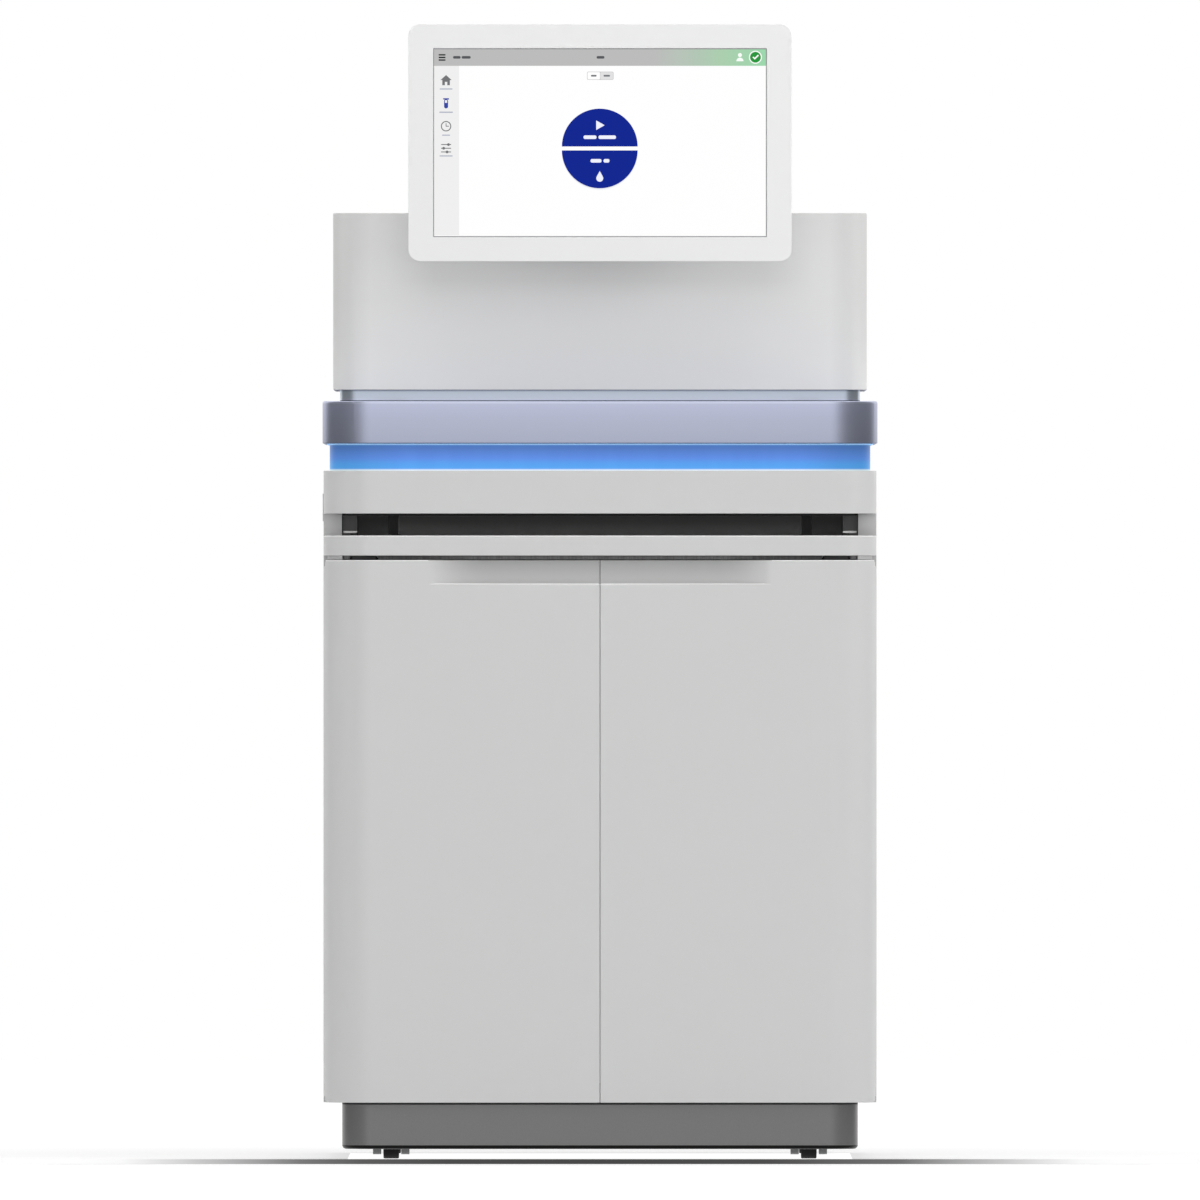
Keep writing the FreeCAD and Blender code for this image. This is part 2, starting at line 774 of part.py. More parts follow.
def drawer(x0, x1, z0, z1, tub_height):
    panel = box(x0, x1, drawer_face, drawer_face + drawer_front, z0, z1)
    tub = box(x0 + drawer_wall, x1 - drawer_wall, drawer_face + drawer_front,
              drawer_face + drawer_front + drawer_depth, z0, z0 + tub_height)
    pocket = box(x0 + 2 * drawer_wall, x1 - 2 * drawer_wall, drawer_face + drawer_front,
                 drawer_face + drawer_front + drawer_depth - drawer_wall,
                 z0 + drawer_wall, z0 + tub_height)
    middle = (x0 + x1) / 2
    grip = box(middle - grip_slot / 2, middle + grip_slot / 2, drawer_face, drawer_face + drawer_front,
               z1 - 2 * grip_height, z1 - grip_height)
    return fuse(panel, tub.cut(pocket)).cut(grip)


def reagent_bottle(x0, z0):
    y0 = drawer_face + bottle_setback
    body = box(x0, x0 + bottle_width, y0, y0 + bottle_depth, z0, z0 + bottle_height)
    corners = [e for e in body.Edges if upright(e, y0) or upright(e, y0 + bottle_depth)]
    body = body.makeFillet(bottle_round, corners)
    middle = Vector(x0 + bottle_width / 2, y0 + bottle_depth / 2, z0 + bottle_height)
    cap = rod(bottle_cap_radius, middle, middle + Vector(0, 0, bottle_cap_height))
    return fuse(body, cap)


def build_light():
    ring = shell_block(light_inset, fascia_top, light_top)
    ring = ring.cut(shell_block(light_inset + light_wall, fascia_top, light_top))
    save("status_light_lens", ring)


def build_deck():
    inset = light_inset + light_wall + touch
    deck = shell_block(inset, deck_bottom, light_top)
    y0 = front + inset + stage_rail_setback
    rails = []
    for x in (-stage_rail_from_centre, stage_rail_from_centre):
        rail = box(x - stage_rail_width / 2, x + stage_rail_width / 2, y0, y0 + stage_rail_length,
                   light_top, light_top + stage_rail_height)
        rails.append(rail)
    save("flow_cell_deck", deck, *rails)
    z0 = light_top + stage_rail_height + touch
    z1 = z0 + stage_thickness
    y1 = y0 + stage_setback
    stage = box(-stage_width / 2, stage_width / 2, y1, y1 + stage_depth, z0, z1)
    seat_y = y1 + flow_cell_setback
    for direction in (-1, 1):
        x = direction * stage_width / 4
        stage = stage.cut(box(x - flow_cell_width / 2, x + flow_cell_width / 2, seat_y,
                              seat_y + flow_cell_depth, z1 - flow_cell_recess, z1))
    save("flow_cell_stage", stage)
    build_optics(z1)


def build_belt():
    ring = shell_block(-belt_proud, belt_bottom, belt_top)
    top_edges = [e for e in ring.Edges if e.BoundBox.ZMin > belt_top - nearly_zero]
    ring = ring.makeFillet(belt_round, top_edges)
    wall = ring.cut(shell_block(belt_wall - belt_proud, belt_bottom, belt_top))
    far = side + belt_proud
    lid_zone = box(-far, far, front - belt_proud, hinge_y - lid_rear_gap, belt_bottom, belt_top)
    rear_zone = box(-far, far, belt_split, rear + belt_proud, belt_bottom, belt_top)
    save("lid_band", wall.common(lid_zone))
    ledge = shell_block(belt_wall - belt_proud, belt_top - belt_wall, belt_top)
    inner = hood_side - belt_ledge
    opening = box(-inner, inner, belt_split, hood_rear - belt_ledge, belt_top - belt_wall, belt_top)
    ledge = ledge.cut(opening).common(rear_zone)
    feet = []
    foot_x = hood_side - belt_foot_inset
    for x in (-foot_x, foot_x - belt_foot):
        for y in (hood_front + belt_foot_setback, hood_rear - belt_foot_setback - belt_foot):
            feet.append(box(x, x + belt_foot, y, y + belt_foot, light_top, belt_top - belt_wall))
    save("belt_trim", fuse(wall.common(rear_zone), ledge, *feet))
    build_lid()


def build_lid():
    inset = belt_wall - belt_proud
    panel = shell_block(inset, belt_top - lid_panel_thickness, belt_top)
    reach = box(-side, side, front, hinge_y, belt_bottom, belt_top)
    panel = panel.common(reach)
    half = side - inset - 1
    barrel = rod(lid_hinge_radius, Vector(-half, hinge_y, hinge_z), Vector(half, hinge_y, hinge_z))
    panel = fuse(panel, barrel)
    brackets = []
    reach = lid_hinge_radius + 1
    for direction in (-1, 1):
        x = direction * lid_knuckle_from_centre
        notch = box(x - lid_knuckle / 2, x + lid_knuckle / 2, hinge_y - 2 * reach, hinge_y + reach,
                    hinge_z - reach, hinge_z + reach)
        hole = rod(lid_pin_radius + running, Vector(x - lid_knuckle, hinge_y, hinge_z),
                   Vector(x + lid_knuckle, hinge_y, hinge_z))
        panel = panel.cut(notch).cut(hole)
        knuckle_half = lid_knuckle / 2 - touch
        knuckle = rod(lid_hinge_radius - touch, Vector(x - knuckle_half, hinge_y, hinge_z),
                      Vector(x + knuckle_half, hinge_y, hinge_z))
        pin_half = lid_knuckle - lid_pin_end_gap
        pin = rod(lid_pin_radius, Vector(x - pin_half, hinge_y, hinge_z),
                  Vector(x + pin_half, hinge_y, hinge_z))
        stand = box(x - knuckle_half, x + knuckle_half, hinge_y - lid_stand_half, hinge_y + lid_stand_half,
                    light_top, hinge_z)
        brackets.append(fuse(knuckle, pin, stand))
    save("lid_panel", panel)
    save("lid_hinge_brackets", *brackets)


def build_optics(stage_top):
    bench_bottom = belt_top + bench_gap
    middle = (hood_front + hood_rear) / 2 - bench_forward
    y0 = middle - bench_depth / 2
    half = bench_width / 2
    bench = box(-half, half, y0, y0 + bench_depth, bench_bottom, bench_bottom + bench_thickness)
    isolators = []
    for x in (-half + isolator_inset, half - isolator_inset):
        for y in (y0 + isolator_inset, y0 + bench_depth - isolator_inset):
            isolators.append(rod(isolator_radius, Vector(x, y, light_top), Vector(x, y, bench_bottom)))
    save("optics_bench", bench, *isolators)
    lens_y = y0 + objective_setback
    tip = Vector(0, lens_y, stage_top + objective_gap)
    shoulder = tip + Vector(0, 0, objective_nose_length)
    nose = rod(objective_nose_radius, tip, shoulder)
    barrel = rod(objective_radius, shoulder, Vector(0, lens_y, bench_bottom))
    save("objective_lens", fuse(nose, barrel))
    top = bench_bottom + bench_thickness
    build_camera(lens_y - camera_forward, top)
    build_laser(y0 + laser_setback, lens_y, top)


def build_camera(y0, top):
    y1 = y0 + camera_depth
    case = box(-camera_width / 2, camera_width / 2, y0, y1, top, top + camera_height)
    mouth = Vector(0, y1, top + camera_height / 2)
    snout = rod(camera_snout_radius, mouth, mouth + Vector(0, camera_snout_length, 0))
    save("camera_module", fuse(case, snout))


def build_laser(y0, beam_y, top):
    x0 = camera_width / 2 + laser_gap
    case = box(x0, x0 + laser_width, y0, y0 + laser_depth, top, top + laser_height)
    mouth = Vector(x0, beam_y, top + laser_height / 2)
    snout = rod(laser_snout_radius, mouth, mouth - Vector(laser_snout_length, 0, 0))
    save("laser_module", fuse(case, snout))


def build_hood():
    ring_half = hood_side - neck_inset
    ring_front = hood_front + neck_inset
    ring_rear = hood_rear - neck_inset
    ring_round = hood_radius - neck_inset
    wall = neck_wall
    ring = rounded_block(ring_half, ring_front, ring_rear, belt_top, hood_bottom, ring_round, ring_round)
    ring = ring.cut(rounded_block(ring_half - wall, ring_front + wall, ring_rear - wall,
                                  belt_top, hood_bottom, ring_round - wall, ring_round - wall))
    save("neck_trim", ring)
    hood = rounded_block(hood_side, hood_front, hood_rear, hood_bottom, hood_top, hood_radius, hood_radius)
    hollow = rounded_block(hood_side - skin, hood_front + skin, hood_rear - skin,
                           hood_bottom + skin, hood_top - skin, hood_radius - skin, hood_radius - skin)
    mouth = rounded_block(ring_half - wall, ring_front + wall, ring_rear - wall,
                          hood_bottom, hood_bottom + skin, ring_round - wall, ring_round - wall)
    vents = []
    for direction in (-1, 1):
        vents += louvres(vent_width, direction * fan_from_centre, hood_bottom + hood_vent_lift,
                         hood_vent_count, hood_rear - skin, hood_rear)
    save("optics_cover", hood.cut([hollow, mouth] + vents))


def screen_block(inset, y0, y1, radius):
    half = screen_width / 2 - inset
    low = screen_bottom + inset
    block = box(-half, half, y0, y1, low, screen_bottom + screen_height - inset)
    edges = [e for e in block.Edges if abs(e.BoundBox.YLength - (y1 - y0)) < nearly_zero]
    return block.makeFillet(radius, edges)


def build_screen():
    face = hood_front - screen_gap - back_depth - bezel_depth
    seam_y = face + bezel_depth
    bezel = screen_block(0, face, seam_y, screen_radius)
    half = glass_width / 2
    low = screen_middle - glass_height / 2
    high = screen_middle + glass_height / 2
    lip = face + glass_recess
    window = box(-half, half, face, lip, low, high)
    seat = box(-half - glass_lap, half + glass_lap, lip, seam_y, low - glass_lap, high + glass_lap)
    save("monitor_bezel", bezel.cut(window).cut(seat))
    edge = glass_lap - touch
    glass = box(-half - edge, half + edge, lip, lip + glass_thickness, low - edge, high + edge)
    save("monitor_glass", glass)
    back_y = seam_y + back_depth
    cover = screen_block(back_inset, seam_y, back_y, screen_radius - back_inset)
    inner = back_inset + sheet
    cover = cover.cut(screen_block(inner, seam_y, back_y - sheet, screen_radius - inner))
    tilt_y = back_y + tilt_arm
    tilt_z = screen_middle - tilt_from_middle
    ears = []
    ear_inner = bracket_width / 2 + touch
    for x in (-ear_inner - ear_width, ear_inner):
        knuckle = rod(tilt_knuckle_radius, Vector(x, tilt_y, tilt_z), Vector(x + ear_width, tilt_y, tilt_z))
        arm = box(x, x + ear_width, back_y - sheet, tilt_y, tilt_z - tilt_knuckle_radius,
                  tilt_z + tilt_knuckle_radius)
        hole = rod(tilt_pin_radius + running, Vector(x, tilt_y, tilt_z),
                   Vector(x + ear_width, tilt_y, tilt_z))
        ears.append(fuse(knuckle, arm).cut(hole))
    save("monitor_back_cover", fuse(cover, *ears))
    build_bracket(tilt_y, tilt_z, ear_inner + ear_width)


def build_bracket(tilt_y, tilt_z, pin_half):
    half = bracket_width / 2
    column_front = tilt_y + tilt_knuckle_radius + bracket_column_gap
    plate = box(-bracket_plate_half, bracket_plate_half, column_front, column_front + bracket_plate_depth,
                hood_top, hood_top + bracket_plate)
    low = tilt_z - tilt_knuckle_radius
    high = tilt_z + tilt_knuckle_radius
    column = box(-half, half, column_front, column_front + bracket_column, hood_top, high)
    arm = box(-half, half, tilt_y, column_front, low, high)
    knuckle = rod(tilt_knuckle_radius, Vector(-half, tilt_y, tilt_z), Vector(half, tilt_y, tilt_z))
    pin = rod(tilt_pin_radius, Vector(-pin_half, tilt_y, tilt_z), Vector(pin_half, tilt_y, tilt_z))
    save("monitor_bracket", fuse(plate, column, arm, knuckle, pin))


def cheek_plate(x0, axle_y, top):
    disc = rod(cheek_radius, Vector(x0, axle_y, wheel_radius),
               Vector(x0 + cheek_width, axle_y, wheel_radius))
    leg = box(x0, x0 + cheek_width, axle_y - cheek_radius, axle_y + cheek_radius, wheel_radius, top)
    return fuse(disc, leg)


def fork(x, y, axle_y, crown_top):
    crown_bottom = crown_top - caster_crown
    half = wheel_width / 2 + cheek_gap + cheek_width
    low_y = min(y, axle_y) - cheek_radius
    high_y = max(y, axle_y) + cheek_radius
    crown = box(x - half, x + half, low_y, high_y, crown_bottom, crown_top)
    cheeks = [cheek_plate(start, axle_y, crown_bottom)
              for start in (x - half, x + wheel_width / 2 + cheek_gap)]
    axle = rod(axle_radius, Vector(x - half, axle_y, wheel_radius), Vector(x + half, axle_y, wheel_radius))
    return fuse(crown, *cheeks, axle)


def caster_wheel(x, axle_y):
    half = wheel_width / 2
    left = Vector(x - half, axle_y, wheel_radius)
    right = Vector(x + half, axle_y, wheel_radius)
    wheel = rod(wheel_radius, left, right)
    wheel = wheel.makeFillet(tread_round, [e for e in wheel.Edges if len(e.Vertexes) == 1])
    return wheel.cut(rod(axle_radius + running, left, right))


def build_casters():
    edge = front + skirt_inset + caster_from_front
    across = side - skirt_inset - caster_from_side
    plate_bottom = skirt_top - caster_plate
    crown_top = plate_bottom - caster_race
    mounts = []
    for side_name, x in (("left", -across), ("right", across)):
        for end_name, y in (("front", edge), ("rear", -edge)):
            trail = caster_trail if end_name == "front" else 0.0
            plate = box(x - caster_plate_half_width, x + caster_plate_half_width,
                        y - caster_plate_half_depth, y + caster_plate_half_depth, plate_bottom, skirt_top)
            race = rod(caster_race_radius, Vector(x, y, crown_top), Vector(x, y, plate_bottom))
            if end_name == "front":
                seat = Vector(x, y, crown_top)
                tip = seat - Vector(0, 0, caster_crown + touch)
                mounts.append(fuse(plate, race, rod(caster_pin_radius, tip, seat)))
                hole = rod(caster_pin_radius + running, tip, seat)
                save("caster_fork_front_" + side_name, fork(x, y, y + trail, crown_top - touch).cut(hole))
            else:
                mounts.append(fuse(plate, race, fork(x, y, y, crown_top)))
            save("caster_wheel_" + end_name + "_" + side_name, caster_wheel(x, y + trail))
    save("caster_mounts", *mounts)


def build_services():
    y1 = rear - 2 * sheet
    y0 = bay_front + bay_depth + module_gap
    y2 = y1 - module_gap
    x0 = module_from_centre
    x1 = x0 + module_width
    save("power_supply", box(x0, x1, y0, y2, rib_top, rib_top + supply_height))
    save("computer_module", box(-x1, -x0, y0, y2, rib_top, rib_top + computer_height))
    housings = []
    back = rear - sheet
    for name, x in (("left", -fan_from_centre), ("right", fan_from_centre)):
        frame = box(x - fan_size / 2, x + fan_size / 2, back - fan_depth, back,
                    fan_height - fan_size / 2, fan_height + fan_size / 2)
        centre = Vector(x, back, fan_height)
        bore = rod(fan_bore, centre - Vector(0, fan_depth, 0), centre)
        stator = rod(fan_hub, centre - Vector(0, fan_stator, 0), centre)
        shaft = rod(fan_shaft_radius, centre - Vector(0, fan_depth - 2 * fan_end_gap, 0), centre)
        strut_y = back - fan_strut_depth
        half = fan_strut / 2
        struts = [box(x - half, x + half, strut_y, back, fan_height - fan_bore, fan_height + fan_bore),
                  box(x - fan_bore, x + fan_bore, strut_y, back, fan_height - half, fan_height + half)]
        housings.append(fuse(frame.cut(bore), stator, shaft, *struts))
        save("fan_rotor_" + name, fan_rotor(centre))
    save("fan_housings", *housings)


def fan_rotor(centre):
    near = centre - Vector(0, fan_stator + touch, 0)
    far = centre - Vector(0, fan_depth - fan_end_gap, 0)
    hub = rod(fan_hub, far, near)
    tip = fan_bore - blade_tip_gap
    depth = near.y - far.y
    blades = []
    for step in range(fan_blades):
        blade = box(-blade_thickness / 2, blade_thickness / 2, -blade_chord / 2, blade_chord / 2, 0, tip)
        blade.rotate(Vector(0, 0, 0), Vector(0, 0, 1), blade_pitch_angle)
        blade = blade.cut(rod(fan_hub - 1, Vector(0, -depth, 0), Vector(0, depth, 0)))
        blade = blade.common(rod(tip, Vector(0, -depth, 0), Vector(0, depth, 0)))
        blade.rotate(Vector(0, 0, 0), Vector(0, 1, 0), 360.0 * step / fan_blades)
        blade.translate((near + far) * 0.5)
        blades.append(blade)
    return fuse(hub, *blades).cut(rod(fan_shaft_radius + running, far, near))


def main():
    os.makedirs("parts", exist_ok=True)
    build_base()
    build_uprights()
    build_side_panels()
    build_rear()
    build_doors()
    build_fascia()
    build_tray()
    build_bays()
    build_light()
    build_deck()
    build_belt()
    build_hood()
    build_screen()
    build_casters()
    build_services()


main()
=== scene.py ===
import json
import math

import bmesh
import bpy
from mathutils import Matrix, Vector

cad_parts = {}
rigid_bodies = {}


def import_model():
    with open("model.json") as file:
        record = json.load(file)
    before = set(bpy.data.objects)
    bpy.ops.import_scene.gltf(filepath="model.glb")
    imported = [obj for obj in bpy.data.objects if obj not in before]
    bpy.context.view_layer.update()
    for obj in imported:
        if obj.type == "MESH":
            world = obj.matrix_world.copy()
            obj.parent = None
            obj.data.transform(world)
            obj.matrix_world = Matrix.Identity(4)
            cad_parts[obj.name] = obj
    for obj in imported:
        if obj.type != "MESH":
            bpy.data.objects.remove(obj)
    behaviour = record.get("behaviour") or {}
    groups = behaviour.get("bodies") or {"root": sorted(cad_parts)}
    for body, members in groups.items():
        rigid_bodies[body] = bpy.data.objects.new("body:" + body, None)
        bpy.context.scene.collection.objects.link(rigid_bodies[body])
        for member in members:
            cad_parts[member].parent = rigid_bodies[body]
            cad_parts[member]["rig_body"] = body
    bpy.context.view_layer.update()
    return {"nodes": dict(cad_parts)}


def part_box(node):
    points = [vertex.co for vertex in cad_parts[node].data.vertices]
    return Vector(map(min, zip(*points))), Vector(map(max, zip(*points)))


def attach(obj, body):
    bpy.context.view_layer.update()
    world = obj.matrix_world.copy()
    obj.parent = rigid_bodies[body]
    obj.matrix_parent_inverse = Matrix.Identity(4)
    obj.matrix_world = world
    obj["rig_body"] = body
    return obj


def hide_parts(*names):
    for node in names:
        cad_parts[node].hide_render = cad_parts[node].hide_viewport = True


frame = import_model()
nodes = frame["nodes"]


# The camera stands level with the middle of the cabinet and far off, so that the
# front is seen practically square on.
photo_width = 1.74
photo_centre_height = 0.8106
front_plane = -0.43
camera_lens = 1600.0
camera_sensor = 36.0
camera_distance = camera_lens / camera_sensor * photo_width

camera_data = bpy.data.cameras.new("camera")
camera_data.lens = camera_lens
camera_data.sensor_width = camera_sensor
camera_data.clip_start = 1.0
camera_data.clip_end = 300.0
camera = bpy.data.objects.new("camera", camera_data)
bpy.context.scene.collection.objects.link(camera)
camera.location = (0.0, front_plane - camera_distance, photo_centre_height)
camera.rotation_euler = (math.pi / 2, 0.0, 0.0)
bpy.context.scene.camera = camera
bpy.context.scene.view_settings.view_transform = "Standard"


# A pale studio: a wide floor sheet, a white surround and large soft lamps, with
# the stronger lamp to the right of the cabinet.
def shade(text):
    """The linear value of a colour written as six hexadecimal digits."""
    parts = [int(text[start:start + 2], 16) / 255.0 for start in (0, 2, 4)]
    linear = [p / 12.92 if p <= 0.04045 else ((p + 0.055) / 1.055) ** 2.4 for p in parts]
    return (*linear, 1.0)


def new_material(name):
    material = bpy.data.materials.new(name)
    material.use_nodes = True
    return material, material.node_tree, material.node_tree.nodes["Principled BSDF"]


def piece_from(mesh, name, *materials):
    """Turns a bmesh into an object at the origin with the materials in order."""
    data = bpy.data.meshes.new(name)
    mesh.to_mesh(data)
    mesh.free()
    for material in materials:
        data.materials.append(material)
    made = bpy.data.objects.new(name, data)
    bpy.context.scene.collection.objects.link(made)
    return made


def seen_rays(tree):
    """One where a surface is looked at, also in gloss or through glass, and otherwise nought."""
    light_path = tree.nodes.new("ShaderNodeLightPath")
    total = light_path.outputs["Is Camera Ray"]
    for kind in ("Is Glossy Ray", "Is Transmission Ray"):
        add = tree.nodes.new("ShaderNodeMath")
        add.operation = "ADD"
        add.use_clamp = True
        tree.links.new(total, add.inputs[0])
        tree.links.new(light_path.outputs[kind], add.inputs[1])
        total = add.outputs[0]
    return total


floor_material, tree, shader = new_material("floor_white")
seen = seen_rays(tree)
blend = tree.nodes.new("ShaderNodeMix")
blend.data_type = "RGBA"
blend.inputs["A"].default_value = (0.92, 0.92, 0.92, 1.0)
blend.inputs["B"].default_value = (0.4, 0.4, 0.4, 1.0)
tree.links.new(seen, blend.inputs["Factor"])
tree.links.new(blend.outputs["Result"], shader.inputs["Base Color"])
shader.inputs["Roughness"].default_value = 0.9
shader.inputs["Specular IOR Level"].default_value = 0.0
shader.inputs["Emission Color"].default_value = (1.0, 1.0, 1.0, 1.0)
place = tree.nodes.new("ShaderNodeTexCoord")
away = tree.nodes.new("ShaderNodeVectorMath")
away.operation = "LENGTH"
tree.links.new(place.outputs["Object"], away.inputs[0])
span = tree.nodes.new("ShaderNodeMapRange")
span.inputs["From Min"].default_value = 0.9
span.inputs["From Max"].default_value = 3.0
span.inputs["To Min"].default_value = 0.66
span.inputs["To Max"].default_value = 0.85
tree.links.new(away.outputs["Value"], span.inputs["Value"])
lift = tree.nodes.new("ShaderNodeMath")
lift.operation = "MULTIPLY"
tree.links.new(seen, lift.inputs[0])
tree.links.new(span.outputs["Result"], lift.inputs[1])
tree.links.new(lift.outputs[0], shader.inputs["Emission Strength"])

# A white card under the cabinet glows for seen rays, as painted light over the cabinet's shadow; only the gap
# below the plinth shows it.
card_painted_light_material, tree, shader = new_material("floor_card_painted_light")
shader.inputs["Base Color"].default_value = (0.4, 0.4, 0.4, 1.0)
shader.inputs["Specular IOR Level"].default_value = 0.0
shader.inputs["Emission Color"].default_value = (1.0, 1.0, 1.0, 1.0)
tree.links.new(seen_rays(tree), shader.inputs["Emission Strength"])

# The floor steps down a little at the front plane, so that the painted line of shade has room.
floor_step = 0.0077
step_depth = 0.045
for name, half_width, near, far, level, finish in (
        ("floor_behind", 12.0, front_plane, 16.0, -0.0002, floor_material),
        ("floor_in_front", 12.0, -9.0, front_plane, -floor_step, floor_material),
        ("floor_under_step", 0.8, front_plane, front_plane + step_depth, -floor_step, floor_material),
        ("painted_light_card", 0.366, front_plane, 0.39, -0.0001, card_painted_light_material)):
    mesh = bmesh.new()
    bmesh.ops.create_grid(mesh, x_segments=1, y_segments=1, size=1.0)
    bmesh.ops.scale(mesh, vec=(half_width, (far - near) / 2, 1.0), verts=mesh.verts)
    bmesh.ops.translate(mesh, vec=(0.0, (far + near) / 2, level), verts=mesh.verts)
    piece_from(mesh, name, finish)


# The cabinet's shade on the floor is a painted shadow: one thin glowing strip, dark in the middle,
# that fades out past both sides of the cabinet. It stands a little way in under the edge of the floor behind.
def run_of_colours(tree, source, axis, start, end, stops):
    """A colour that runs along one axis of the piece, from start to end in metres."""
    split = tree.nodes.new("ShaderNodeSeparateXYZ")
    tree.links.new(source, split.inputs[0])
    span = tree.nodes.new("ShaderNodeMapRange")
    span.inputs["From Min"].default_value = start
    span.inputs["From Max"].default_value = end
    tree.links.new(split.outputs[axis], span.inputs["Value"])
    ramp = tree.nodes.new("ShaderNodeValToRGB")
    while len(ramp.color_ramp.elements) < len(stops):
        ramp.color_ramp.elements.new(0.5)
    for element, (at, colour) in zip(ramp.color_ramp.elements, stops):
        element.position = at
        element.color = shade(colour)
    tree.links.new(span.outputs["Result"], ramp.inputs["Fac"])
    return ramp.outputs["Color"]


line_half = 0.76
shadow_line_material, tree, shader = new_material("painted_shadow_line")
shader.inputs["Base Color"].default_value = (0.0, 0.0, 0.0, 1.0)
shader.inputs["Specular IOR Level"].default_value = 0.0
shader.inputs["Emission Strength"].default_value = 1.0
place = tree.nodes.new("ShaderNodeTexCoord")
tree.links.new(run_of_colours(tree, place.outputs["Object"], "X", -line_half, line_half, [
    (0.0, "ffffff"), (0.042, "fafafa"), (0.118, "c8c8c8"), (0.214, "7a7a7a"), (0.271, "5e5e5e"),
    (0.357, "4c4c4c"), (0.5, "484848"), (0.66, "4e4e4e"), (0.786, "727272"), (0.882, "c6c6c6"),
    (0.96, "fafafa"), (1.0, "ffffff")]), shader.inputs["Emission Color"])
line_mesh = bmesh.new()
bmesh.ops.create_grid(line_mesh, x_segments=1, y_segments=1, size=1.0)
bmesh.ops.rotate(line_mesh, cent=(0, 0, 0), matrix=Matrix.Rotation(math.pi / 2, 3, "X"),
                 verts=line_mesh.verts)
bmesh.ops.scale(line_mesh, vec=(line_half, 1.0, floor_step / 2), verts=line_mesh.verts)
bmesh.ops.translate(line_mesh, vec=(0.0, front_plane + step_depth, -floor_step / 2), verts=line_mesh.verts)
painted_shadow_line = piece_from(line_mesh, "painted_shadow_line", shadow_line_material)
painted_shadow_line.visible_diffuse = False
painted_shadow_line.visible_shadow = False

world = bpy.data.worlds.new("studio")
bpy.context.scene.world = world
world.use_nodes = True
tree = world.node_tree
background = tree.nodes["Background"]
background.inputs["Color"].default_value = (1.0, 1.0, 1.0, 1.0)
level = tree.nodes.new("ShaderNodeMapRange")
level.inputs["To Min"].default_value = 0.47
level.inputs["To Max"].default_value = 1.0
tree.links.new(seen_rays(tree), level.inputs["Value"])
tree.links.new(level.outputs["Result"], background.inputs["Strength"])


def softbox(name, place, aim, width, height, power):
    """A rectangular lamp turned to its aim. It doesn't show in gloss."""
    lamp_data = bpy.data.lights.new(name, "AREA")
    lamp_data.shape = "RECTANGLE"
    lamp_data.size = width
    lamp_data.size_y = height
    lamp_data.energy = power
    lamp = bpy.data.objects.new(name, lamp_data)
    bpy.context.scene.collection.objects.link(lamp)
    lamp.location = place
    lamp.rotation_mode = "QUATERNION"
    lamp.rotation_quaternion = (Vector(aim) - Vector(place)).to_track_quat("-Z", "Y")
    lamp.visible_glossy = False
    return lamp


softbox("right_lamp", (5.2, -2.9, 1.9), (0.0, -0.4, 0.8), 2.4, 2.4, 118.0)
softbox("left_lamp", (-4.8, -3.0, 1.3), (0.0, -0.4, 0.7), 2.4, 2.0, 55.0)
softbox("front_lamp", (0.2, -4.8, 1.6), (0.0, -0.4, 0.6), 2.0, 1.2, 15.0)
softbox("top_lamp", (0.0, -0.6, 4.2), (0.0, 0.0, 0.0), 3.0, 3.0, 66.0)

# Two grey screens stand out of view at the sides, as in a studio. Only gloss sees
# them, which gives the metal band its dark ends and a light rim outside them.
screen_front = -5.0
screen_back = 0.6
screen_aside = 1.6
screen_half_height = 3.0
screen_level = 1.5
screen_grey, tree, shader = new_material("studio_screen_grey")
shader.inputs["Base Color"].default_value = (0.0, 0.0, 0.0, 1.0)
shader.inputs["Specular IOR Level"].default_value = 0.0
shader.inputs["Emission Strength"].default_value = 1.0
place = tree.nodes.new("ShaderNodeTexCoord")
tree.links.new(run_of_colours(tree, place.outputs["Object"], "Y", screen_front, screen_back, [
    (0.0, "ffffff"), (0.2, "e6e6e6"), (0.4, "b8b8b8"), (0.58, "949494"), (0.7, "8c8c8c"), (1.0, "8c8c8c")]),
    shader.inputs["Emission Color"])
for name, side in (("left_studio_screen", -1.0), ("right_studio_screen", 1.0)):
    mesh = bmesh.new()
    bmesh.ops.create_grid(mesh, x_segments=1, y_segments=1, size=1.0)
    bmesh.ops.rotate(mesh, cent=(0, 0, 0), matrix=Matrix.Rotation(math.pi / 2, 3, "Y"), verts=mesh.verts)
    bmesh.ops.scale(mesh, vec=(1.0, (screen_back - screen_front) / 2, screen_half_height), verts=mesh.verts)
    bmesh.ops.translate(mesh, vec=(side * screen_aside, (screen_back + screen_front) / 2, screen_level),
                        verts=mesh.verts)
    screen = piece_from(mesh, name, screen_grey)
    screen.visible_camera = False
    screen.visible_diffuse = False
    screen.visible_shadow = False


# Plinth: a skirt with a dark metallic coat and a rounded lower edge, screwed under
# the base plate. Its lowest 5 mm are painted nearly black, as painted shade under that edge.
# The base plate and its ribs are folded steel.
def objects_place(tree, stretch=(1.0, 1.0, 1.0)):
    """The piece's own coordinates in metres, drawn out along some axes."""
    place = tree.nodes.new("ShaderNodeTexCoord")
    mapping = tree.nodes.new("ShaderNodeMapping")
    mapping.inputs["Scale"].default_value = stretch
    tree.links.new(place.outputs["Object"], mapping.inputs["Vector"])
    return mapping.outputs["Vector"]


def grain(tree, place, fineness, detail=2.0):
    noise = tree.nodes.new("ShaderNodeTexNoise")
    noise.inputs["Scale"].default_value = fineness
    noise.inputs["Detail"].default_value = detail
    tree.links.new(place, noise.inputs["Vector"])
    return noise.outputs["Fac"]


grain_low = 0.3
grain_high = 0.7


def tint_between(tree, value, low, high):
    """A colour that goes from one to the other over the grain's range."""
    ramp = tree.nodes.new("ShaderNodeValToRGB")
    ramp.color_ramp.elements[0].position = grain_low
    ramp.color_ramp.elements[0].color = low
    ramp.color_ramp.elements[1].position = grain_high
    ramp.color_ramp.elements[1].color = high
    tree.links.new(value, ramp.inputs["Fac"])
    return ramp.outputs["Color"]


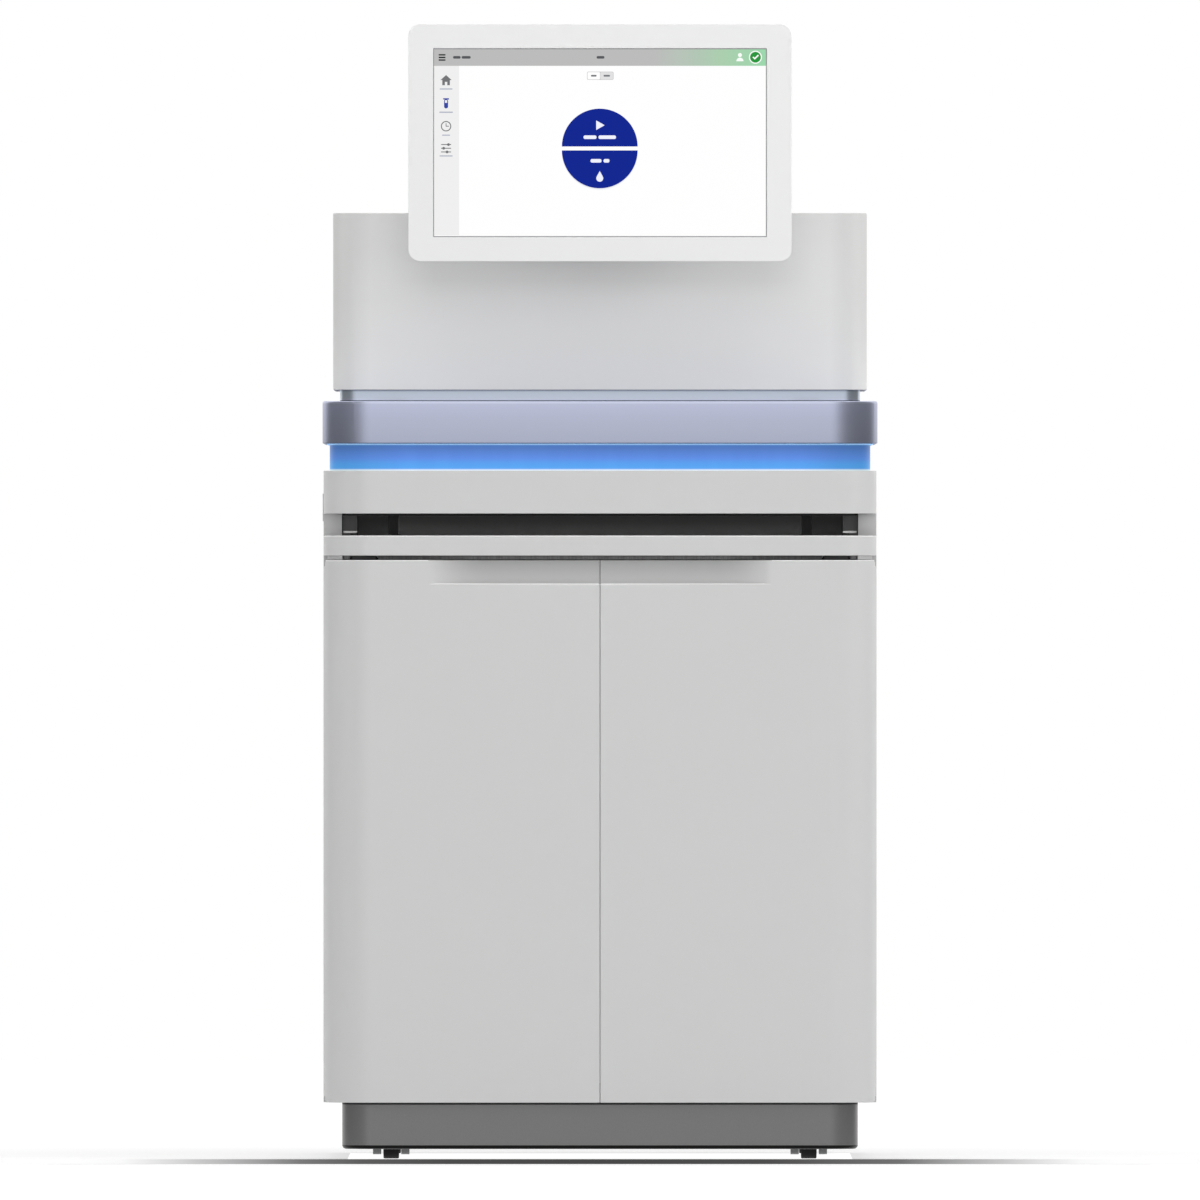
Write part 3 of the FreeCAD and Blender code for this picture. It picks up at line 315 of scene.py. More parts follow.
def level_between(tree, value, low, high):
    """A number that goes from one to the other over the grain's range."""
    span = tree.nodes.new("ShaderNodeMapRange")
    span.inputs["From Min"].default_value = grain_low
    span.inputs["From Max"].default_value = grain_high
    span.inputs["To Min"].default_value = low
    span.inputs["To Max"].default_value = high
    tree.links.new(value, span.inputs["Value"])
    return span.outputs["Result"]


def emboss(tree, value, depth):
    bump = tree.nodes.new("ShaderNodeBump")
    bump.inputs["Distance"].default_value = depth
    bump.inputs["Strength"].default_value = 1.0
    tree.links.new(value, bump.inputs["Height"])
    return bump.outputs["Normal"]


def toned(colour, factor):
    return (*[min(channel * factor, 1.0) for channel in colour[:3]], 1.0)


def surface(name, colour, spread=0.02, roughness=0.45, rough_spread=0.05, fineness=900.0,
            depth=0.00002, metallic=0.0, specular=0.5):
    """A finish with a fine grain in its colour, its sheen and its relief."""
    material, tree, shader = new_material(name)
    place = objects_place(tree)
    fine = grain(tree, place, fineness)
    colour = shade(colour)
    tint = tint_between(tree, fine, toned(colour, 1.0 - spread), toned(colour, 1.0 + spread))
    tree.links.new(tint, shader.inputs["Base Color"])
    broad = grain(tree, place, fineness / 60.0, 3.0)
    rough = level_between(tree, broad, roughness - rough_spread, roughness + rough_spread)
    tree.links.new(rough, shader.inputs["Roughness"])
    tree.links.new(emboss(tree, fine, depth), shader.inputs["Normal"])
    shader.inputs["Metallic"].default_value = metallic
    shader.inputs["Specular IOR Level"].default_value = specular
    return material


def times(tree, first, second):
    """One colour multiplied by another."""
    blend = tree.nodes.new("ShaderNodeMix")
    blend.data_type = "RGBA"
    blend.blend_type = "MULTIPLY"
    blend.inputs["Factor"].default_value = 1.0
    tree.links.new(first, blend.inputs["A"])
    tree.links.new(second, blend.inputs["B"])
    return blend.outputs["Result"]


def tinted(tree, socket, colour, low, high, fineness=900.0):
    """Lays a fine light and dark grain over a colour and gives it to the socket."""
    fine = grain(tree, objects_place(tree), fineness)
    grey = tint_between(tree, fine, (low, low, low, 1.0), (high, high, high, 1.0))
    tree.links.new(times(tree, colour, grey), socket)
    return fine


def dress(material, *names):
    for name in names:
        held = nodes[name].data.materials
        held.clear()
        held.append(material)


def body_of(node):
    return nodes[node]["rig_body"]


def eased(node, name, width, material, segments=3, sharp=25.0, shortest=0.0, others=(), pick=None):
    """A copy of a CAD node with its hard edges rounded over, which stands for the node.

    Edges under the shortest length, as round a bore, stay sharp, and then the others
    take the full width. The function pick gives each face, by its middle and normal,
    the number of its finish.
    """
    mesh = bmesh.new()
    mesh.from_mesh(nodes[node].data)
    bmesh.ops.remove_doubles(mesh, verts=mesh.verts, dist=0.00001)
    bmesh.ops.dissolve_limit(mesh, angle_limit=math.radians(0.3), use_dissolve_boundaries=False,
                             verts=mesh.verts, edges=mesh.edges)
    hard = [e for e in mesh.edges
            if len(e.link_faces) == 2 and e.calc_face_angle(0.0) > math.radians(sharp)
            and e.calc_length() > shortest]
    bmesh.ops.bevel(mesh, geom=hard, offset=width, offset_type="OFFSET", segments=segments,
                    profile=0.5, affect="EDGES", clamp_overlap=not shortest, material=-1)
    mesh.normal_update()
    for face in mesh.faces:
        face.smooth = True
        face.material_index = pick(face.calc_center_median(), face.normal) if pick else 0
    for edge in mesh.edges:
        edge.smooth = len(edge.link_faces) == 2 and edge.calc_face_angle(0.0) < math.radians(40.0)
    made = piece_from(mesh, name, material, *others)
    weigh = made.modifiers.new("even_shading", "WEIGHTED_NORMAL")
    weigh.keep_sharp = True
    weigh.weight = 100
    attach(made, body_of(node))
    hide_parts(node)
    return made


low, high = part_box("plinth_skirt")
skirt_coat_painted_shade, tree, shader = new_material("skirt_coating_painted_shade")
# The lowest 5 mm of the skirt are painted nearly black, as painted shade under its rounded edge.
by_height = run_of_colours(tree, objects_place(tree), "Z", low.z, low.z + 0.03,
                           [(0.0, "0c0c0c"), (0.17, "161616"), (0.2, "767676"), (1.0, "767676")])
fine = tinted(tree, shader.inputs["Base Color"], by_height, 0.95, 1.05, 1100.0)
tree.links.new(level_between(tree, fine, 0.3, 0.36), shader.inputs["Roughness"])
tree.links.new(emboss(tree, fine, 0.00002), shader.inputs["Normal"])
shader.inputs["Metallic"].default_value = 0.85
eased("plinth_skirt", "plinth_skirt_moulding", 0.0015, skirt_coat_painted_shade)
frame_finish = surface("frame_coating", "212223", spread=0.12, roughness=0.5, fineness=700.0, depth=0.00004)
dress(frame_finish, "base_frame", "upright_frame")


# Casters: a grey pressed fork on a round race, with a dark rubber wheel on a steel
# axle. The front pair swivels and the rear pair is fixed.
caster_grey = surface("caster_zinc", "7f8081", spread=0.06, roughness=0.35, fineness=500.0,
                      depth=0.00003, metallic=0.3)
tyre_rubber = surface("tyre_rubber", "1a1a1a", spread=0.15, roughness=0.7, rough_spread=0.1,
                      fineness=800.0, depth=0.00006, specular=0.2)
hub_plastic = surface("hub_plastic", "55585a", spread=0.06, roughness=0.4, fineness=900.0)
for node in ("caster_fork_front_left", "caster_fork_front_right", "caster_mounts"):
    eased(node, node + "_pressing", 0.0008, caster_grey, segments=2)

tyre_outer = 0.025
tyre_half = 0.0115
hub_radius = 0.0155
bore_radius = 0.00515
profile = [(bore_radius, 0.0085), (0.0085, 0.0085), (0.0092, 0.0065), (0.0142, 0.0065),
           (hub_radius, 0.0095), (0.0185, tyre_half), (0.0235, tyre_half - 0.0002),
           (0.0246, tyre_half - 0.0007), (tyre_outer, tyre_half - 0.002)]
outline = profile + [(r, -x) for r, x in reversed(profile)]
for end in ("front", "rear"):
    for side in ("left", "right"):
        node = "caster_wheel_" + end + "_" + side
        low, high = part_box(node)
        centre = (low + high) / 2
        wheel = bmesh.new()
        points = [wheel.verts.new((x, 0.0, r)) for r, x in outline]
        edges = [wheel.edges.new((a, b)) for a, b in zip(points, points[1:] + points[:1])]
        bmesh.ops.spin(wheel, geom=points + edges, cent=(0, 0, 0), axis=(1, 0, 0), dvec=(0, 0, 0),
                       angle=2 * math.pi, steps=64, use_merge=True, use_duplicate=False)
        bmesh.ops.remove_doubles(wheel, verts=wheel.verts, dist=0.00001)
        bmesh.ops.recalc_face_normals(wheel, faces=wheel.faces)
        for face in wheel.faces:
            middle = face.calc_center_median()
            face.material_index = 0 if math.hypot(middle.y, middle.z) > hub_radius else 1
            face.smooth = True
        for edge in wheel.edges:
            edge.smooth = edge.calc_face_angle(0.0) < math.radians(35.0)
        bmesh.ops.translate(wheel, vec=centre, verts=wheel.verts)
        made = piece_from(wheel, node + "_tyre", tyre_rubber, hub_plastic)
        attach(made, body_of(node))
        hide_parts(node)


# Doors: a pair of white moulded shells that wrap round the front corners, with a
# scooped finger grip across both top edges. The scoop is painted darker as painted shade,
# and the top edges carry a painted highlight. They hang on pins hidden in the stile.
door_finish = surface("door_moulding", "c9c9c9", spread=0.008, roughness=0.34, fineness=1300.0,
                      depth=0.000012)
liner_finish = surface("bay_moulding", "b9babc", spread=0.02, roughness=0.45, fineness=900.0)
low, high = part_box("left_door")
grip_bottom = high.z - 0.0352
grip_half_width = 0.252
grip_depth = 0.0135
# The scoop is painted darker the deeper and the higher it goes, as painted shade under the tray's bar.
grip_painted_shade_finish, tree, shader = new_material("door_grip_painted_shade")
place = objects_place(tree)
by_height = run_of_colours(tree, place, "Z", grip_bottom, high.z, [
    (0.0, "bebebe"), (0.26, "bababa"), (0.5, "b1b1b1"), (0.8, "a4a4a4"), (1.0, "9a9a9a")])
by_depth = run_of_colours(tree, place, "Y", low.y, low.y + grip_depth,
                          [(0.0, "000000"), (0.5, "a4a4a4"), (1.0, "ffffff")])
blend = tree.nodes.new("ShaderNodeMix")
blend.data_type = "RGBA"
blend.inputs["A"].default_value = shade("c9c9c9")
tree.links.new(by_depth, blend.inputs["Factor"])
tree.links.new(by_height, blend.inputs["B"])
tinted(tree, shader.inputs["Base Color"], blend.outputs["Result"], 0.99, 1.01, 1300.0)
shader.inputs["Roughness"].default_value = 0.45
# Faces that turn up along the top edges are painted almost white, as a painted highlight.
painted_highlight_finish = surface("moulding_painted_highlight", "f4f4f4", spread=0.01, roughness=0.3, fineness=1300.0, depth=0.00001)


def door_faces(middle, normal):
    """The scoop of the grip gets painted shade, and the upper edges and the grip's lower edge get a painted
    highlight.
    """
    in_grip = abs(middle.x) < grip_half_width and low.y + 0.00002 < middle.y < low.y + 0.02
    if abs(middle.z - grip_bottom) < 0.0013 and 0.15 < normal.z < 0.98 and in_grip:
        return 2
    if middle.z > grip_bottom and in_grip and normal.y < -0.3:
        return 1
    return 2 if middle.z > high.z - 0.0015 and 0.2 < normal.z < 0.98 and normal.y < -0.1 else 0


# The free edges of both doors stand a little closer at the seam.
seam_lap = 0.0005
for side, sign in (("left", -1.0), ("right", 1.0)):
    shell = eased(side + "_door", side + "_door_shell", 0.0012, door_finish,
                  shortest=0.002, others=(grip_painted_shade_finish, painted_highlight_finish), pick=door_faces)
    for corner in shell.data.vertices:
        if abs(corner.co.x) < 0.0035:
            corner.co.x -= sign * seam_lap
    dress(liner_finish, side + "_door_liner")

catch_black = surface("catch_plastic", "1c1c1c", spread=0.1, roughness=0.45, fineness=800.0)
dress(door_finish, "door_hinge_brackets")
dress(catch_black, "door_catches")


# Side panels: folded sheet steel with a white powder coat, each flanged at the
# front and the rear and screwed to the uprights. The left one carries the ports and
# the power button.
panel_coat = surface("panel_powder_coat", "c6c6c6", spread=0.012, roughness=0.48, fineness=1400.0,
                     depth=0.00002)
eased("side_panel_left", "side_panel_left_sheet", 0.0006, panel_coat, segments=2)
eased("side_panel_right", "side_panel_right_sheet", 0.0006, panel_coat, segments=2)
button_finish = surface("button_plastic", "2f62b8", spread=0.04, roughness=0.35, fineness=900.0)
port_grey = surface("port_plate_plastic", "bcbcbc", spread=0.02, roughness=0.42, fineness=900.0)
dress(port_grey, "side_port_plate")
eased("power_button", "power_button_cap", 0.0008, button_finish)


def rounded_bar(name, middle, size, rounding, finish, body):
    """A straight bar with rounded edges, fixed to a body."""
    mesh = bmesh.new()
    bmesh.ops.create_cube(mesh, size=1.0)
    bmesh.ops.scale(mesh, vec=size, verts=mesh.verts)
    bmesh.ops.translate(mesh, vec=middle, verts=mesh.verts)
    bmesh.ops.bevel(mesh, geom=mesh.edges[:], offset=rounding, segments=2, profile=0.5, affect="EDGES",
                    material=-1)
    made = piece_from(mesh, name, finish)
    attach(made, body)


# A narrow inner ledge along the top of the sides and the rear closes the gap under
# the light ring.
ledge_grey = surface("ledge_sheet", "77797b", spread=0.05, roughness=0.5, fineness=900.0)
ledge_height = 0.9969
ledge_sheet = 0.0014
for name, from_x, to_x, from_y, to_y in (("side_ledge_left", -0.3978, -0.375, -0.4, 0.4675),
                                         ("side_ledge_right", 0.375, 0.3978, -0.4, 0.4675),
                                         ("rear_ledge", -0.3745, 0.3745, 0.44, 0.4675)):
    rounded_bar(name, ((from_x + to_x) / 2, (from_y + to_y) / 2, ledge_height),
                (to_x - from_x, to_y - from_y, ledge_sheet), 0.0003, ledge_grey, "cabinet")


# Upper fascia: one white moulding that wraps round the front corners over the tray
# slot, clipped to the uprights.
eased("front_fascia", "front_fascia_moulding", 0.0006, door_finish)


# Keyboard tray: a black folded tray on a pair of steel slides, behind a curved
# white front bar. The bay round it is lined with grey sheet, black at its edges. The grey
# is painted darker towards the top as painted shade under the fascia, and glows faintly as painted light.
black_coat = surface("black_powder_coat", "525252", spread=0.1, roughness=0.5, fineness=900.0, depth=0.00003)
bay_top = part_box("tray_bay_liner")[1].z
rib_drop = 0.032
# The bay sheet is painted darker towards its top, as painted shade, and glows faintly, as painted light.
bay_sheet_painted_shade_glow, tree, shader = new_material("tray_bay_painted_shade_and_glow")
by_height = run_of_colours(tree, objects_place(tree), "Z", bay_top - rib_drop, bay_top, [
    (0.0, "d8d8d8"), (0.3, "d2d2d2"), (0.7, "a8a8a8"), (1.0, "969696")])
tree.links.new(emboss(tree, tinted(tree, shader.inputs["Base Color"], by_height, 0.95, 1.05), 0.00003),
               shader.inputs["Normal"])
shader.inputs["Roughness"].default_value = 0.6
shader.inputs["Emission Color"].default_value = (1.0, 1.0, 1.0, 1.0)
shader.inputs["Emission Strength"].default_value = 0.01
rib_black = surface("tray_bay_rib_black", "282828", spread=0.1, roughness=0.7, fineness=900.0, depth=0.00003,
                    specular=0.1)
bar_low, bar_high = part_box("tray_front")


def bar_faces(middle, normal):
    """The upper front edge of the bar gets a painted highlight."""
    return 1 if middle.z > bar_high.z - 0.0016 and 0.2 < normal.z < 0.98 and normal.y < -0.1 else 0


eased("tray_front", "tray_front_bar", 0.0013, door_finish, others=(painted_highlight_finish,),
      pick=bar_faces)
eased("keyboard_tray", "keyboard_tray_pressing", 0.0005, black_coat, segments=2)
dress(black_coat, "tray_slides")


def bay_faces(middle, normal):
    """The front edges of the roof and the ribs are black."""
    return 1 if normal.y < -0.5 and middle.y < -0.4 else 0


eased("tray_bay_liner", "tray_bay_sheet", 0.0003, bay_sheet_painted_shade_glow, segments=1, others=(rib_black,),
      pick=bay_faces)
slide_steel = surface("slide_end_steel", "fcfcfa", spread=0.03, roughness=0.4, fineness=400.0)
slide_end_size = (0.0198, 0.0016, 0.003)
for side, sign in (("left", -1.0), ("right", 1.0)):
    rounded_bar(side + "_slide_end_plate", (sign * 0.3622, -0.3932, 0.9093), slide_end_size, 0.0003,
                slide_steel, "tray")

# A strip of short grey bristles under the bar closes the gap over the doors, with a
# dark stop at each end where the doors' catches sit.
bristles, tree, shader = new_material("bristles")
strands = grain(tree, objects_place(tree, (900.0, 60.0, 20.0)), 1.0, 2.0)
tree.links.new(tint_between(tree, strands, shade("525252"), shade("707070")), shader.inputs["Base Color"])
tree.links.new(emboss(tree, strands, 0.0003), shader.inputs["Normal"])
shader.inputs["Roughness"].default_value = 0.8
stop_black = surface("stop_rubber", "303030", spread=0.08, roughness=0.6, fineness=900.0)
strip_y = bar_low.y + 0.0165
strip_height = 0.0056
for name, from_x, to_x, finish in (("bristle_strip", -0.3215, 0.3215, bristles),
                                   ("bristle_end_left", -0.3708, -0.3625, bristles),
                                   ("bristle_end_right", 0.3625, 0.3708, bristles),
                                   ("bar_stop_left", -0.359, -0.325, stop_black),
                                   ("bar_stop_right", 0.325, 0.359, stop_black)):
    rounded_bar(name, ((from_x + to_x) / 2, strip_y, bar_low.z - strip_height / 2),
                (to_x - from_x, 0.003, strip_height), 0.0005, finish, "tray")

# The bristles at the corners are painted much lighter than the strip between them, as painted light in the
# narrow gap.
corner_bristles_painted_light = surface("corner_bristles_painted_light", "bebebe", spread=0.04, roughness=0.8, fineness=700.0)
corner_round = 0.07
strip_outer = corner_round - 0.006
strip_inner = corner_round - 0.009
strip_steps = 12
for name, side in (("bristle_corner_left", -1.0), ("bristle_corner_right", 1.0)):
    strip = bmesh.new()
    centre_x = bar_high.x - corner_round
    centre_y = bar_low.y + corner_round
    outline = []
    for radius, turns in ((strip_outer, range(strip_steps + 1)), (strip_inner, range(strip_steps, -1, -1))):
        for step in turns:
            turn = math.radians(42.0 + 48.0 * step / strip_steps)
            outline.append((side * (centre_x + radius * math.sin(turn)), centre_y - radius * math.cos(turn)))
    ring = [strip.verts.new((x, y, bar_low.z - 0.0002)) for x, y in outline]
    grown = bmesh.ops.extrude_face_region(strip, geom=[strip.faces.new(ring)], use_keep_orig=True)
    moved = [part for part in grown["geom"] if isinstance(part, bmesh.types.BMVert)]
    bmesh.ops.translate(strip, vec=(0.0, 0.0, -0.0055), verts=moved)
    bmesh.ops.recalc_face_normals(strip, faces=strip.faces)
    made = piece_from(strip, name, corner_bristles_painted_light)
    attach(made, "tray")


# Liquids bays: two moulded bays behind the doors with a pair of drawers each. The
# upper drawer is the chiller and the lower one holds the buffer cartridge.
drawer_finish = surface("drawer_moulding", "a3a7ab", spread=0.02, roughness=0.4, fineness=900.0)
bottle_finish = surface("bottle_polyethylene", "dfe1da", spread=0.02, roughness=0.35, fineness=120.0)
dress(liner_finish, "bay_liner")
for side in ("left", "right"):
    eased("chiller_drawer_" + side, "chiller_drawer_" + side + "_moulding", 0.0012, drawer_finish,
          segments=2)
    eased("buffer_drawer_" + side, "buffer_drawer_" + side + "_moulding", 0.0012, drawer_finish,
          segments=2)
    dress(bottle_finish, "used_reagent_bottle_" + side)
module_black = surface("module_black", "26272a", spread=0.08, roughness=0.42, fineness=700.0)
module_grey = surface("module_grey", "85888c", spread=0.03, roughness=0.42, fineness=700.0, metallic=0.3)
dress(module_black, "pump_modules")
dress(module_grey, "power_supply", "computer_module")


# Status light: a clear acrylic ring with a row of blue lamps on a board behind it.
# Its blue is darker towards the top and at both ends, and its lowest edge glows almost white,
# as a painted highlight of the fascia's top edge.
lens_glow_and_painted_highlight, tree, shader = new_material("status_light")
shader.inputs["Base Color"].default_value = shade("060d18")
shader.inputs["Roughness"].default_value = 0.35
shader.inputs["Specular IOR Level"].default_value = 0.15
shader.inputs["Emission Strength"].default_value = 1.0
low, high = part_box("status_light_lens")
place = objects_place(tree)
# The near-white lowest stops are a painted highlight along the fascia's top edge.
by_height = run_of_colours(tree, place, "Z", low.z, high.z, [
    (0.0, "eef8ff"), (0.035, "e2f4ff"), (0.065, "80b1f7"), (0.11, "58a6f3"), (0.25, "58a2f1"),
    (0.486, "5e8de4"), (0.7, "5783d2"), (0.867, "5078bf"), (0.965, "4a78c0"), (1.0, "92bce4")])
by_width = run_of_colours(tree, place, "X", low.x, high.x, [
    (0.0, "e4ece6"), (0.03, "e4ece6"), (0.13, "ffffff"), (0.87, "ffffff"), (0.97, "e4ece6"), (1.0, "e4ece6")])
glow = grain(tree, objects_place(tree, (28.0, 28.0, 6.0)), 1.0, 2.0)
patchy = tint_between(tree, glow, (0.95, 0.95, 0.97, 1.0), (1.02, 1.02, 1.01, 1.0))
tree.links.new(times(tree, times(tree, by_height, by_width), patchy), shader.inputs["Emission Color"])
dress(lens_glow_and_painted_highlight, "status_light_lens")
board_finish = surface("solder_mask", "1f4a2c", spread=0.2, roughness=0.4, fineness=300.0)
dress(board_finish, "status_light_board")


# A pale gasket lies on top of the light ring, and the lid's band closes on it. It
# glows pale blue, as painted light in the shade under the band.
gasket_painted_glow, tree, shader = new_material("gasket_silicone_painted_glow")
pale = grain(tree, objects_place(tree), 600.0)
tree.links.new(tint_between(tree, pale, shade("9cc0e4"), shade("a8cae8")), shader.inputs["Base Color"])
shader.inputs["Roughness"].default_value = 0.5
shader.inputs["Emission Color"].default_value = shade("7fb4ea")
shader.inputs["Emission Strength"].default_value = 0.6
band_low, band_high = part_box("lid_band")
gasket_lift = 0.0002
gasket_thick = 0.001
gasket_steps = 12
gasket = bmesh.new()
rims = []
for inset, rounding in ((0.0063, 0.0637), (0.0165, 0.0535)):
    corner_x = band_high.x - inset - rounding
    corner_y = -band_low.y - inset - rounding
    rim = []
    for side_x, side_y, start in ((1.0, 1.0, 0.0), (-1.0, 1.0, 90.0), (-1.0, -1.0, 180.0),
                                  (1.0, -1.0, 270.0)):
        for step in range(gasket_steps + 1):
            turn = math.radians(start + 90.0 * step / gasket_steps)
            rim.append(gasket.verts.new((side_x * corner_x + rounding * math.cos(turn),
                                         side_y * corner_y + rounding * math.sin(turn),
                                         high.z + gasket_lift)))
    rims.append([gasket.edges.new((a, b)) for a, b in zip(rim, rim[1:] + rim[:1])])
flat = bmesh.ops.bridge_loops(gasket, edges=rims[0] + rims[1])
grown = bmesh.ops.extrude_face_region(gasket, geom=flat["faces"], use_keep_orig=True)
moved = [part for part in grown["geom"] if isinstance(part, bmesh.types.BMVert)]
bmesh.ops.translate(gasket, vec=(0.0, 0.0, gasket_thick), verts=moved)
bmesh.ops.recalc_face_normals(gasket, faces=gasket.faces)
lid_gasket = piece_from(gasket, "lid_gasket", gasket_painted_glow)
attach(lid_gasket, "cabinet")

# A dark seal on each side stands behind the split between the lid's band and the rest.
seal_size = (0.002, 0.026, 0.0455)
for name, side in (("split_seal_left", -1.0), ("split_seal_right", 1.0)):
    rounded_bar(name, (side * 0.3942, -0.2625, 1.0603), seal_size, 0.0005, stop_black, "cabinet")


# Metal band: the front three quarters are the flow cell lid and the rest stays on
# the cabinet. It is anodised aluminium, brushed along its length. Its colour is painted lighter
# towards the top, with a painted highlight along the top edge and painted shade along the bottom edge.
def brushed(name, low_z, high_z, stops, roughness):
    material, tree, shader = new_material(name)
    by_height = run_of_colours(tree, objects_place(tree), "Z", low_z, high_z, stops)
    strokes = grain(tree, objects_place(tree, (3.0, 3.0, 1500.0)), 1.0, 3.0)
    streaks = tint_between(tree, strokes, (0.985, 0.985, 0.985, 1.0), (1.015, 1.015, 1.015, 1.0))
    tree.links.new(times(tree, by_height, streaks), shader.inputs["Base Color"])
    tree.links.new(level_between(tree, strokes, roughness - 0.02, roughness + 0.02),
                   shader.inputs["Roughness"])
    tree.links.new(emboss(tree, strokes, 0.000001), shader.inputs["Normal"])
    shader.inputs["Metallic"].default_value = 1.0
    return material


low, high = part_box("lid_band")
# Painted shade at the foot, painted light rising upwards and a painted highlight along the top edge.
band_painted_light_and_shade = brushed("anodised_band_painted_light_and_shade", low.z, high.z, [
    (0.0, "8a90a8"), (0.03, "aeb3c8"), (0.3, "b3b8cc"), (0.6, "b7bcd2"), (0.85, "bdc2da"),
    (0.93, "c0c5dc"), (0.955, "d2d7ee"), (1.0, "d2d7ee")], 0.36)
low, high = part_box("neck_trim")
# The neck is painted dark along its foot as painted shadow on the lid, with a painted highlight just above,
# and darker towards its top as painted shade under the hood.
neck_painted_light_and_shade = brushed("anodised_neck_painted_light_and_shade", low.z, high.z, [
    (0.0, "5c6272"), (0.1, "5c6272"), (0.14, "dce2f2"), (0.3, "cfd7e2"), (0.8, "c6d0da"),
    (0.93, "a8b2c0"), (1.0, "8a92a2")], 0.3)
eased("lid_band", "lid_band_metal", 0.0006, band_painted_light_and_shade, sharp=40.0, shortest=0.001)
eased("belt_trim", "belt_trim_metal", 0.0006, band_painted_light_and_shade, sharp=40.0)
eased("lid_panel", "lid_panel_metal", 0.0005, band_painted_light_and_shade, segments=2)
dress(neck_painted_light_and_shade, "neck_trim")
hinge_steel = surface("zinc_plate", "a8a9a4", spread=0.12, roughness=0.35, fineness=260.0,
                      depth=0.00002, metallic=0.9)
dress(hinge_steel, "lid_hinge_brackets")


# Flow cell deck: a grey plate with two rails, and the stage that carries two flow
# cells in under the lens.
deck_finish = surface("deck_coating", "8a8d90", spread=0.03, roughness=0.4, fineness=700.0)
stage_finish = surface("stage_metal", "3a3c40", spread=0.05, roughness=0.35, fineness=500.0, metallic=0.6)
dress(deck_finish, "flow_cell_deck")
eased("flow_cell_stage", "flow_cell_stage_plate", 0.0006, stage_finish, segments=2)
bench_finish = surface("bench_metal", "8c8e92", spread=0.05, roughness=0.35, fineness=400.0, metallic=0.8)
dress(bench_finish, "optics_bench")
dress(module_black, "camera_module", "laser_module", "objective_lens")


# Optics hood: a white moulded cover over the optics bench. It stands on the narrow
# metal neck. Its colour is painted lighter towards the bottom, its front has a painted shadow
# behind the screen, and its corners are painted a little darker, as painted shade.
low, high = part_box("optics_cover")
hood_painted_light_and_shade, tree, shader = new_material("hood_moulding_painted_shade")
place = objects_place(tree)
# Painted light: lighter towards the bottom of the hood.
hood_painted_light_by_height = run_of_colours(tree, place, "Z", low.z, high.z,
                       [(0.0, "f3f3f2"), (0.3, "e6e6e5"), (0.5, "e1e1e0"), (1.0, "dfdfde")])
# Painted shadow of the screen on the front, darkest just below the screen.
painted_screen_shadow = run_of_colours(tree, place, "Z", low.z, high.z, [
    (0.0, "f3f3f2"), (0.3, "e8e8e7"), (0.52, "dededd"), (0.62, "d4d4d3"), (0.85, "dadad9"), (1.0, "d6d6d5")])
across = run_of_colours(tree, place, "X", low.x, high.x, [
    (0.0, "000000"), (0.1, "000000"), (0.19, "ffffff"), (0.81, "ffffff"), (0.9, "000000"), (1.0, "000000")])
deep = run_of_colours(tree, place, "Y", low.y + 0.001, low.y + 0.02, [(0.0, "ffffff"), (1.0, "000000")])
on_front = tree.nodes.new("ShaderNodeMath")
on_front.operation = "MULTIPLY"
tree.links.new(across, on_front.inputs[0])
tree.links.new(deep, on_front.inputs[1])
blend = tree.nodes.new("ShaderNodeMix")
blend.data_type = "RGBA"
tree.links.new(on_front.outputs[0], blend.inputs["Factor"])
tree.links.new(hood_painted_light_by_height, blend.inputs["A"])
tree.links.new(painted_screen_shadow, blend.inputs["B"])
# Painted shade: darker at both corners.
corners = run_of_colours(tree, place, "X", low.x, high.x, [
    (0.0, "eeeeee"), (0.03, "f0f0f0"), (0.07, "ffffff"), (0.93, "ffffff"), (0.97, "f0f0f0"), (1.0, "eeeeee")])
fine = tinted(tree, shader.inputs["Base Color"], times(tree, blend.outputs["Result"], corners),
              0.992, 1.008, 1300.0)
tree.links.new(level_between(tree, fine, 0.36, 0.44), shader.inputs["Roughness"])
tree.links.new(emboss(tree, fine, 0.000012), shader.inputs["Normal"])
eased("optics_cover", "optics_cover_moulding", 0.001, hood_painted_light_and_shade)


# Touch screen: a white moulded bezel and back cover round a flat glass, on a
# bracket that tilts.
screen_finish = surface("screen_moulding", "e7e7e7", spread=0.006, roughness=0.45, fineness=1500.0,
                        depth=0.00001)
eased("monitor_bezel", "monitor_bezel_moulding", 0.0012, screen_finish)
eased("monitor_back_cover", "monitor_back_moulding", 0.0015, screen_finish)
glass_finish = surface("screen_glass", "8c8c8e", spread=0.04, roughness=0.12, rough_spread=0.02,
                       fineness=300.0)
dress(glass_finish, "monitor_glass")
dress(hood_painted_light_and_shade, "monitor_bracket")

# The picture on the glass is laid out in dots, counted from the upper left corner of
# the screen. It is built as thin flat shapes, one colour to a piece.
low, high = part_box("monitor_glass")
bezel_low, bezel_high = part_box("monitor_bezel")
screen_middle = (bezel_low.z + bezel_high.z) / 2
dots_wide = 334.0
dots_high = 189.0
dot = 0.00145
glass_face = low.y
layer_depth = 0.0002


def glow_colour(name, colour, stops=None):
    """A lit colour on the screen, with the faint raster of its pixels."""
    material, tree, shader = new_material(name)
    shader.inputs["Base Color"].default_value = (0.001, 0.001, 0.001, 1.0)
    shader.inputs["Roughness"].default_value = 0.25
    shader.inputs["Specular IOR Level"].default_value = 0.03
    shader.inputs["Emission Strength"].default_value = 1.0
    stops = stops or [(0.0, colour), (1.0, colour)]
    by_width = run_of_colours(tree, objects_place(tree), "X", -dots_wide / 2 * dot,
                              dots_wide / 2 * dot, stops)
    tinted(tree, shader.inputs["Emission Color"], by_width, 0.985, 1.0, 1400.0)
    return material


